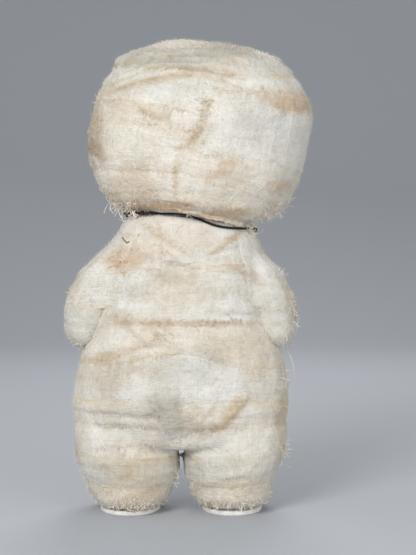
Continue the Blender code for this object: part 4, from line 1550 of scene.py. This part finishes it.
def grow(name, mesh, kind, **values):
    """Runs a thread tree on a mesh, and keeps the threads as a plain mesh."""
    obj = add_object(name, mesh)
    modifier = obj.modifiers.new("Threads", "NODES")
    modifier.node_group = trees[kind]
    for item in trees[kind].interface.items_tree:
        if item.in_out == "INPUT" and item.name in values:
            modifier[item.identifier] = values[item.name]
    graph = bpy.context.evaluated_depsgraph_get()
    threads = bpy.data.meshes.new_from_object(obj.evaluated_get(graph))
    obj.modifiers.clear()
    obj.data = threads
    for vertex in threads.vertices:
        vertex.co.z = max(vertex.co.z, FLOOR_CLEARANCE)
    print(name, len(threads.polygons), "faces")
    return finish_piece(obj, "thread")


def loose_mesh(found):
    """A mesh of single points that carry the attributes the thread tree reads."""
    mesh = bpy.data.meshes.new("loose")
    mesh.from_pydata([thread.place for thread in found], [], [])
    along = mesh.attributes.new("along", "FLOAT_VECTOR", "POINT")
    along.data.foreach_set("vector", [c for thread in found for c in thread.along])
    reach = mesh.attributes.new("reach", "FLOAT", "POINT")
    reach.data.foreach_set("value", [thread.reach for thread in found])
    paint(mesh)
    return mesh


THREAD_RADIUS = 0.12 * MM
for name, found in loose.items():
    grow(f"frays_{name}", loose_mesh(found), "frays", **{
        "Thread Radius": THREAD_RADIUS, "Curl": 2.6 * MM, "Curl Size": 1.7 * MM,
        "Thread": finishes["thread"]})

# %% [markdown]
# The fuzz grows only where the cloth shows, so the faces under other strips are left out first.

# %% Grow the fuzz
FIBRE_WIDTH, FIBRE_LENGTH = 0.15 * MM, 1.15 * MM
FIBRES_PER_SQUARE_METRE = 560000.0


def outer_cloth(group):
    """The parts of some strips that no other strip covers, as one mesh."""
    points, faces, tints = [], [], []
    for obj in group:
        mesh = obj.data
        colours = [0.0] * (4 * len(mesh.vertices))
        mesh.color_attributes["Stain"].data.foreach_get("color", colours)
        tints += colours
        first = len(points)
        points += [vertex.co.copy() for vertex in mesh.vertices]
        for face in mesh.polygons:
            if not covered(face.center, face.normal):
                faces.append([first + i for i in face.vertices])
    made = bpy.data.meshes.new("outer cloth")
    made.from_pydata(points, [], faces)
    made.color_attributes.new("Stain", "FLOAT_COLOR", "POINT").data.foreach_set("color", tints)
    return made


for name, groups in (("head", ("head",)), ("body", ("body", "arm_left", "arm_right"))):
    cloth = outer_cloth([obj for group in groups for obj in laid[group]])
    grow(f"fuzz_{name}", cloth, "fuzz", **{
        "Thread Radius": FIBRE_WIDTH, "Curl": 2.2 * MM, "Curl Size": 1.0 * MM,
        "Density": FIBRES_PER_SQUARE_METRE, "Length": FIBRE_LENGTH, "Seed": 5,
        "Thread": finishes["thread"]})

# %% [markdown]
# ## From surface to cloth
#
# The strips have no thickness yet. Solidify gives each one its 0.3 mm, centred on the surface
# that was laid, and less towards its edges. Each then gets its finish, and the frame's strip that
# it stands for is hidden.

# %% Thickness and finishes
THINNEST, SHARP = 0.2, math.radians(55)
for _, obj, _, _ in sheets:
    solid = obj.modifiers.new("Cloth", "SOLIDIFY")
    solid.thickness = CLOTH
    solid.offset = 0.0
    solid.vertex_group = "Thick"
    solid.thickness_vertex_group = THINNEST
graph = bpy.context.evaluated_depsgraph_get()
for strip, obj, length, width in sheets:
    thick = bpy.data.meshes.new_from_object(obj.evaluated_get(graph))
    obj.modifiers.clear()
    obj.data = thick
    thick.set_sharp_from_angle(angle=SHARP)
    finish_piece(obj, strip.slot)
    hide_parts(strip.name)
print("strips declared:", len(sheets))

# %% [markdown]
# The stuffed pieces get a base layer of the same gauze. Its UV map goes round each piece by angle
# and up it by height.

# %% The base layer
BASE_SHADE = (0.99, 0.98, 0.97)
THICK_REACH, THIN_REACH = 45 * MM, 12 * MM
CORE_NODES = {"head": "head_stuffed", "body": "body_stuffed"}
for name, core in cores.items():
    mesh = core.data
    uv = mesh.uv_layers.new(name="Weave")
    centre = sum((v.co for v in mesh.vertices), Vector()) / len(mesh.vertices)
    reach = THICK_REACH if name in CORE_NODES else THIN_REACH
    values = []
    for polygon in mesh.polygons:
        middle = math.atan2(polygon.center.x - centre.x, -(polygon.center.y - centre.y))
        for index in polygon.vertices:
            at = mesh.vertices[index].co
            angle = math.atan2(at.x - centre.x, -(at.y - centre.y))
            angle += round((middle - angle) / math.tau) * math.tau
            values += [angle * reach, at.z]
    uv.data.foreach_set("uv", values)
    paint(mesh, [BASE_SHADE] * len(mesh.vertices))
    finish_piece(core, "stuffed_cotton")
    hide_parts(CORE_NODES.get(name, name))

# %% [markdown]
# ## Soles
#
# The soles are oval felt discs with a softly rounded edge. Each is a stack of ovals, set in
# where the edge is rounded.

# %% Soles
SOLE_SIDES = 72
SOLE_ROUND = 0.9 * MM
SOLE_POWER = 2.2
ROUNDING = [math.radians(angle) for angle in (0, 22, 45, 67, 90)]


def oval(angle, half_x, half_y):
    """A point of a slightly squared oval."""
    x, y = math.sin(angle), -math.cos(angle)
    reach = (abs(x / half_x) ** SOLE_POWER + abs(y / half_y) ** SOLE_POWER) ** (-1 / SOLE_POWER)
    return x * reach, y * reach


for label in ("left", "right"):
    low, high = (Vector(corner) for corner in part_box(f"sole_{label}"))
    centre, half = (low + high) / 2, (high - low) / 2
    rounded = [(SOLE_ROUND * (1 - math.sin(a)), SOLE_ROUND * (1 - math.cos(a))) for a in ROUNDING]
    levels = [(low.z + in_from, inset) for in_from, inset in reversed(rounded)]
    levels += [(high.z - in_from, inset) for in_from, inset in rounded]
    points, faces = [], []
    for height, inset in levels:
        for i in range(SOLE_SIDES):
            x, y = oval(math.tau * i / SOLE_SIDES, half.x - inset, half.y - inset)
            points.append((centre.x + x, centre.y + y, height))
    for k in range(len(levels) - 1):
        for i in range(SOLE_SIDES):
            j = (i + 1) % SOLE_SIDES
            a, b = k * SOLE_SIDES, (k + 1) * SOLE_SIDES
            faces.append((a + i, a + j, b + j, b + i))
    faces.append(tuple(reversed(range(SOLE_SIDES))))
    faces.append(tuple(range((len(levels) - 1) * SOLE_SIDES, len(levels) * SOLE_SIDES)))
    mesh = bpy.data.meshes.new("sole")
    mesh.from_pydata(points, [], faces)
    sole = finish_piece(add_object(f"felt_sole_{label}", mesh), "sole_felt")
    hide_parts(f"sole_{label}")
print("soles:", SOLE_SIDES, "sides each")

# %% [markdown]
# ## Tubes
#
# The cord, its loops and the long threads are tubes along paths. A tube's sides are carried from
# one point of its path to the next, so that it never twists.

# %% Tubes
def tube(path, radius, sides=8, closed=False):
    """The points and faces of a round tube along a path."""
    points, faces = [], []
    count = len(path)
    side = None
    for i, place in enumerate(path):
        if closed:
            ahead = path[(i + 1) % count] - path[i - 1]
        else:
            ahead = path[min(i + 1, count - 1)] - path[max(i - 1, 0)]
        ahead.normalize()
        side = ahead.orthogonal() if side is None else side - ahead * side.dot(ahead)
        side.normalize()
        other = ahead.cross(side)
        for k in range(sides):
            turn = math.tau * k / sides
            points.append(place + (side * math.cos(turn) + other * math.sin(turn)) * radius)
    for i in range(count if closed else count - 1):
        j = (i + 1) % count
        for k in range(sides):
            m = (k + 1) % sides
            faces.append((i * sides + k, j * sides + k, j * sides + m, i * sides + m)[::-1])
    if not closed:
        faces.append(tuple(range(sides)))
        faces.append(tuple(range((count - 1) * sides, count * sides))[::-1])
    return points, faces


def tubes_object(name, parts):
    """One object from several tubes."""
    points, faces = [], []
    for part_points, part_faces in parts:
        first = len(points)
        points += part_points
        faces += [tuple(first + i for i in face) for face in part_faces]
    mesh = bpy.data.meshes.new(name)
    mesh.from_pydata(points, [], faces)
    return add_object(name, mesh)


def thread_piece(name, parts):
    """One piece of gauze thread from several tubes, with the stains of its place."""
    made = tubes_object(name, parts)
    paint(made.data)
    return finish_piece(made, "thread")


trial = tube([Vector(), UP * MM], MM)
print("a short straight tube:", len(trial[0]), "points,", len(trial[1]), "faces")

# %% [markdown]
# ## The cord
#
# The cord is two plies twisted round each other, tied close under the head, higher on the left
# than on the right. Its middle line is an oval round the neck. Each point of it is moved in or
# out until it lies on the gauze, and the line is then smoothed.

# %% The cord
PLY, TWIST, CORD_STEPS, RING_STEPS = 0.38 * MM, 3.4 * MM, 600, 180
CORD_MIDDLE, CORD_SWING = 150.6 * MM, 3.9 * MM
CORD_BEND_X, CORD_BEND = 8 * MM, 9 * MM
CORD_BEHIND, CORD_SLANT, CORD_BLEND = 148.6 * MM, 0.105, 20 * MM
CORD_OFF, CORD_SMOOTHING = 0.1 * MM, 6
SEARCH_FROM, SEARCH_REACH = 4 * MM, 12 * MM
neck_half = Vector([(high - low) / 2 for low, high in zip(*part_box("neck_cord"))])
neck_centre = Vector((BODY_X + NECK_LEAN, 0.0, 0.0))


def cord_height(x, y):
    """How high the cord lies: an S in front, and a plain slant behind."""
    wave = CORD_MIDDLE - CORD_SWING * math.tanh((x - CORD_BEND_X) / CORD_BEND)
    plain = CORD_BEHIND - CORD_SLANT * x
    front = within(0.5 - y / CORD_BLEND)
    return plain + (wave - plain) * front * front * (3 - 2 * front)


def cord_place(turn):
    """A point of the cord's middle line, round the neck. It lies on whatever it meets."""
    x, y = oval(turn, neck_half.x, neck_half.y)
    height = cord_height(neck_centre.x + x, y)
    place = Vector((neck_centre.x + x, y, height))
    out = Vector((x, y, 0.0)).normalized()
    hit = everything.ray_cast(place + out * SEARCH_FROM, -out, SEARCH_REACH)[0]
    if hit is not None:
        place = hit + out * (2 * PLY + CORD_OFF)
    return place


ring = [cord_place(math.tau * i / RING_STEPS) for i in range(RING_STEPS)]
for _ in range(CORD_SMOOTHING):
    onward = ring[1:] + ring[:1]
    ring = [(ring[i - 1] + ring[i] * 2 + onward[i]) / 4 for i in range(RING_STEPS)]
cord_length = sum((ring[i] - ring[i - 1]).length for i in range(RING_STEPS))
turns = round(cord_length / TWIST)
plies = []
for ply in (0, 1):
    path = []
    for i in range(CORD_STEPS):
        part = i / CORD_STEPS * RING_STEPS
        a, b = ring[int(part)], ring[(int(part) + 1) % RING_STEPS]
        place = a + (b - a) * (part % 1)
        ahead = (b - a).normalized()
        side = ahead.cross(UP).normalized()
        up = side.cross(ahead)
        turn = math.tau * (turns * i / CORD_STEPS + ply / 2)
        path.append(place + (side * math.cos(turn) + up * math.sin(turn)) * PLY)
    plies.append(tube(path, PLY, 7, True))
cord = finish_piece(tubes_object("twisted_cord", plies), "black_cord")
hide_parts("neck_cord")
print("cord:", round(cord_length / MM), "mm round")

# %% [markdown]
# ## Loops of thread
#
# Three loops of gauze thread hold the cord. Each is a few turns of thread round it, with short
# ends left loose. The middle loop is the smallest.

# %% Loops of thread
LOOP_SPOTS = {"left": -27 * MM, "middle": 1 * MM, "right": 31 * MM}
LOOP_THREAD, LOOP_STEPS, LOOP_DEPTH, LOOP_TWIST = 0.17 * MM, 18, 1.25 * MM, 0.3 * MM
END_FROM, END_STEPS, END_THIN = 0.9 * MM, 9, 0.8


def far_from(spot, place):
    """How far a point of the cord is from a spot on the front. The back is always too far."""
    return abs(place.x - spot) + (1.0 if place.y > 0 else 0.0)


for label, spot in LOOP_SPOTS.items():
    at = min(range(RING_STEPS), key=lambda i: far_from(spot, ring[i]))
    place = ring[at]
    ahead = (ring[(at + 1) % RING_STEPS] - ring[at - 1]).normalized()
    out = Vector((place.x - neck_centre.x, place.y, 0.0)).normalized()
    small = label == "middle"
    parts = []
    for _ in range(2 if small else 5):
        lean = (ahead * rng.gauss(0, 0.5) + UP * rng.gauss(0, 0.3)).normalized()
        centre = place + ahead * rng.gauss(0, 1.0) * MM + UP * rng.uniform(-0.3, 0.8) * MM
        across = (UP + lean * 0.6).normalized()
        radius = rng.uniform(1.0, 1.3 if small else 1.9) * MM
        path = []
        for i in range(LOOP_STEPS):
            turn = math.tau * i / LOOP_STEPS
            flat = out * math.cos(turn) * LOOP_DEPTH + across * math.sin(turn) * radius
            path.append(centre + flat + lean * math.sin(2 * turn) * LOOP_TWIST)
        parts.append(tube(path, LOOP_THREAD, 5, True))
    for _ in range(2 if small else 6):
        path = [place + out * END_FROM]
        heading = (ahead * rng.gauss(0, 0.8) + UP * rng.gauss(0.1, 0.8) + out * 0.4).normalized()
        for _ in range(END_STEPS):
            heading = (heading + Vector([rng.gauss(0, 0.28) for _ in range(3)])).normalized()
            path.append(path[-1] + heading * rng.uniform(0.3, 0.5) * MM)
        parts.append(tube(path, LOOP_THREAD * END_THIN, 5))
    keeper = thread_piece(f"thread_loops_{label}", parts)
    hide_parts(f"keeper_{label}")
print("loops of thread:", len(LOOP_SPOTS))

# %% [markdown]
# ## Pulled threads
#
# A few threads were pulled out of the weave and lie on the cloth. Each is a walk over the
# surface that bends a little at every step, and stops where other gauze lies over it.

# %% Pulled threads
WALKS, WALK_STEP, WALK_OFF, WALK_RADIUS = 46, 0.8 * MM, 0.2 * MM, 0.11 * MM
parts = []
for _ in range(WALKS):
    place, normal = meet(everything, rng.uniform(-50, 52), rng.uniform(10, 235))
    if place is None:
        continue
    heading = Vector((rng.choice((-1, 1)), rng.gauss(0, 0.2), rng.gauss(0, 0.7))).normalized()
    path = [place + normal * WALK_OFF]
    bend = rng.gauss(0, 0.12)
    for _ in range(rng.randint(7, 26)):
        heading = (heading + normal.cross(heading) * (bend + rng.gauss(0, 0.14))).normalized()
        ahead = path[-1] + heading * WALK_STEP
        near, normal, _, _ = everything.find_nearest(ahead)
        if covered(near, normal):
            break
        path.append(near + normal * WALK_OFF)
    if len(path) > 4:
        parts.append(tube(path, WALK_RADIUS, 4))
thread_piece("pulled_threads", parts)
print("pulled threads:", len(parts))

# %% [markdown]
# ## Curled yarns
#
# The tufts also hold thicker yarns. They curl as they come loose, because the yarn was twisted
# when it was spun. Each is a chain of short steps that mostly turns one way. A bundle of them is
# described like a tuft, and some hang from the hems of the feet.

# %% Curled yarns
BUNDLES = (
    Tuft(-35, 157, 5.0, 1.8, 44, 6.0, -0.4, -0.9),
    Tuft(-29, 153.5, 1.6, 1.6, 12, 5.0, 0.3, 0.6),
    Tuft(31, 147, 2.0, 1.0, 16, 5.0, 0.5, -0.6),
    Tuft(46, 153.5, 4.0, 2.5, 34, 3.6, 0.6, -0.8),
    Tuft(54, 158, 0.8, 1.5, 6, 4.0, 0.9, -0.7),
    Tuft(49, 127, 0.5, 2.0, 6, 2.6, 0.1, 0.9),
    Tuft(-32, 156, 2.2, 1.0, 22, 4.6, -0.2, -0.9, 0.8),
    Tuft(34, 146.5, 1.2, 0.9, 16, 3.2, 0.4, 0.2, 1.6),
    Tuft(55, 103, 1.2, 6.0, 20, 3.4, 0.8, -0.2),
    Tuft(50, 31, 1.5, 3.0, 20, 4.2, 0.8, -0.3),
    Tuft(-6, 19, 1.2, 3.0, 10, 3.4, 0.8, -0.4),
    Tuft(-7, 35, 1.6, 1.2, 14, 2.6, 0.2, -0.5),
    Tuft(-31, 4.4, 8.5, 1.6, 80, 3.4, -0.1, -0.9, 1.3),
    Tuft(21, 4.4, 8.5, 1.6, 80, 3.4, 0.1, -0.9, 1.3),
    Tuft(-24, 2.4, 4.0, 0.8, 12, 4.2, 0.3, -0.9, 0.9),
    Tuft(29, 3.0, 4.0, 0.8, 12, 4.2, 0.5, 0.2, 0.9),
    Tuft(43, 13, 1.0, 3.0, 10, 2.4, 0.9, -0.4),
    Tuft(-46, 8, 1.0, 2.0, 8, 2.2, -0.9, -0.5),
    Tuft(29, 239, 4.0, 1.0, 10, 2.0, 0.3, 0.7),
    Tuft(-50, 213, 1.0, 5.0, 8, 2.0, -0.8, 0.2),
    Tuft(-62, 100, 1.0, 8.0, 10, 2.2, -0.8, 0.0),
    Tuft(50, 68, 1.5, 10.0, 12, 3.0, 0.8, 0.2),
)
YARN_RADIUS, YARN_STEP, YARN_ROOT, YARN_FLOOR = 0.16 * MM, 0.45 * MM, 0.2 * MM, 0.4 * MM
# A yarn that would start beyond the outline starts at the nearest gauze instead.
BESIDE_Y, BESIDE_LOWEST = -12 * MM, 4
curled = []
for bundle in BUNDLES:
    for _ in range(bundle.count):
        x = bundle.x + rng.gauss(0, bundle.reach_x)
        z = bundle.z + rng.gauss(0, bundle.reach_z)
        place, normal = meet(everything, x, z)
        if place is None:
            beside = Vector((x * MM, BESIDE_Y, max(z, BESIDE_LOWEST) * MM))
            place, normal = everything.find_nearest(beside)[:2]
        turn = math.atan2(bundle.lean_z, bundle.lean_x) + rng.gauss(0, bundle.spread)
        bend = rng.gauss(0, 0.28)
        path = [place - normal * YARN_ROOT]
        for _ in range(round(bundle.length * MM * rng.uniform(0.6, 1.4) / YARN_STEP)):
            turn += bend + rng.gauss(0, 0.15)
            ahead = Vector((math.cos(turn), rng.gauss(-0.05, 0.25), math.sin(turn)))
            spot = path[-1] + (ahead + normal * 0.25).normalized() * YARN_STEP
            spot.z = max(spot.z, YARN_FLOOR)
            path.append(spot)
        if len(path) > 3:
            curled.append(tube(path, YARN_RADIUS, 4))
thread_piece("curled_yarns", curled)
print("curled yarns:", len(curled))

# %% [markdown]
# ## Two threads of their own
#
# One thread hangs in a loop beside the right hip. A short brown end sticks out at the left
# shoulder. Both are drawn by the points that they go through, as seen, in millimetres.

# %% The hip loop and the brown end
HIP_RADIUS, END_RADIUS, END_OFF = 0.2 * MM, 0.38 * MM, 0.35 * MM
HIP_LOOP = ((50.5, 84), (53.0, 80), (54.6, 75), (55.0, 70), (53.4, 66.5), (51.4, 63.5), (50.2, 61))
path = [Vector((x * MM, 0.5 * MM * i, z * MM)) for i, (x, z) in enumerate(HIP_LOOP)]
thread_piece("hip_thread", [tube(path, HIP_RADIUS, 5)])

SHOULDER_END = ((-34.6, 142.0), (-33.6, 140.4), (-32.2, 139.0), (-31.0, 139.6))
path = []
for x, z in SHOULDER_END:
    path.append(meet(everything, x, z)[0] + Vector((0, -END_OFF, 0)))
end = tubes_object("brown_thread_end", [tube(path, END_RADIUS, 6)])
finish_piece(end, "dark_thread")
print("brown end:", len(path), "points, hip loop:", len(HIP_LOOP))

# %% [markdown]
# ## Floor, light and camera
#
# A plain pale sweep of paper stands behind and under the doll. A big soft lamp to the upper left
# of the camera is the main light. A second one on the right fills the shadows, and one behind
# lifts the doll off the paper. The camera looks from the front, at the height of the neck.

# %% Floor
FLOOR_FROM, FLOOR_TO, SWEEP, PAPER_TOP, PAPER_SIDE = -1.2, 0.9, 0.5, 3.0, 3.0
rows = [(FLOOR_FROM, 0.0), (FLOOR_TO, 0.0)]
for degrees in range(10, 91, 10):
    turn = math.radians(degrees)
    rows.append((FLOOR_TO + SWEEP * math.sin(turn), SWEEP - SWEEP * math.cos(turn)))
rows.append((FLOOR_TO + SWEEP, PAPER_TOP))
points, faces = [], []
for y, z in rows:
    points += [(-PAPER_SIDE, y, z), (PAPER_SIDE, y, z)]
for k in range(len(rows) - 1):
    faces.append((2 * k, 2 * k + 1, 2 * k + 3, 2 * k + 2))
mesh = bpy.data.meshes.new("paper")
mesh.from_pydata(points, [], faces)
mesh.polygons.foreach_set("use_smooth", [True] * len(mesh.polygons))
paper = bpy.data.materials.new("backdrop paper")
paper.use_nodes = True
paper_inputs = paper.node_tree.nodes["Principled BSDF"].inputs
paper_inputs["Base Color"].default_value = colour("#b4b8be")
paper_inputs["Roughness"].default_value = 0.9
mesh.materials.append(paper)
add_object("paper_sweep", mesh)
print("paper:", len(rows), "rows")

# %% [markdown]
# The picture is 555 pixels high, and a pixel is 0.52 mm at the doll, so the lens follows from
# the camera's distance.

# %% Light and camera
MIDDLE = Vector((0.0, 0.0, 0.13))


def lamp(name, place, size, power):
    """A round soft lamp that points at the middle of the doll."""
    light = bpy.data.lights.new(name, "AREA")
    light.shape = "DISK"
    light.size = size
    light.energy = power
    made = add_object(name, light)
    made.location = place
    made.rotation_euler = (MIDDLE - Vector(place)).to_track_quat("-Z", "Y").to_euler()


lamp("key", (-0.38, -0.78, 0.52), 0.44, 6.4)
lamp("fill", (0.6, -0.8, 0.06), 0.7, 5.0)
lamp("back", (0.1, 0.7, 0.8), 0.6, 4.0)
world = bpy.data.worlds.new("studio")
world.use_nodes = True
sky = world.node_tree.nodes["Background"].inputs
sky["Color"].default_value = colour("#ffffff")
sky["Strength"].default_value = 0.42
bpy.context.scene.world = world

PIXELS_HIGH, PIXEL = 555, 0.52 * MM
FRAME_HEIGHT = PIXELS_HIGH * PIXEL
SENSOR = 24.0
camera = add_object("camera", bpy.data.cameras.new("camera"))
camera.location = EYE
camera.rotation_euler = (AIM - camera.location).to_track_quat("-Z", "Y").to_euler()
camera.data.sensor_fit = "VERTICAL"
camera.data.sensor_height = SENSOR
camera.data.lens = SENSOR * -EYE.y / FRAME_HEIGHT
bpy.context.scene.camera = camera
bpy.context.scene.view_settings.view_transform = "Standard"
print("lens:", round(camera.data.lens, 1), "mm")
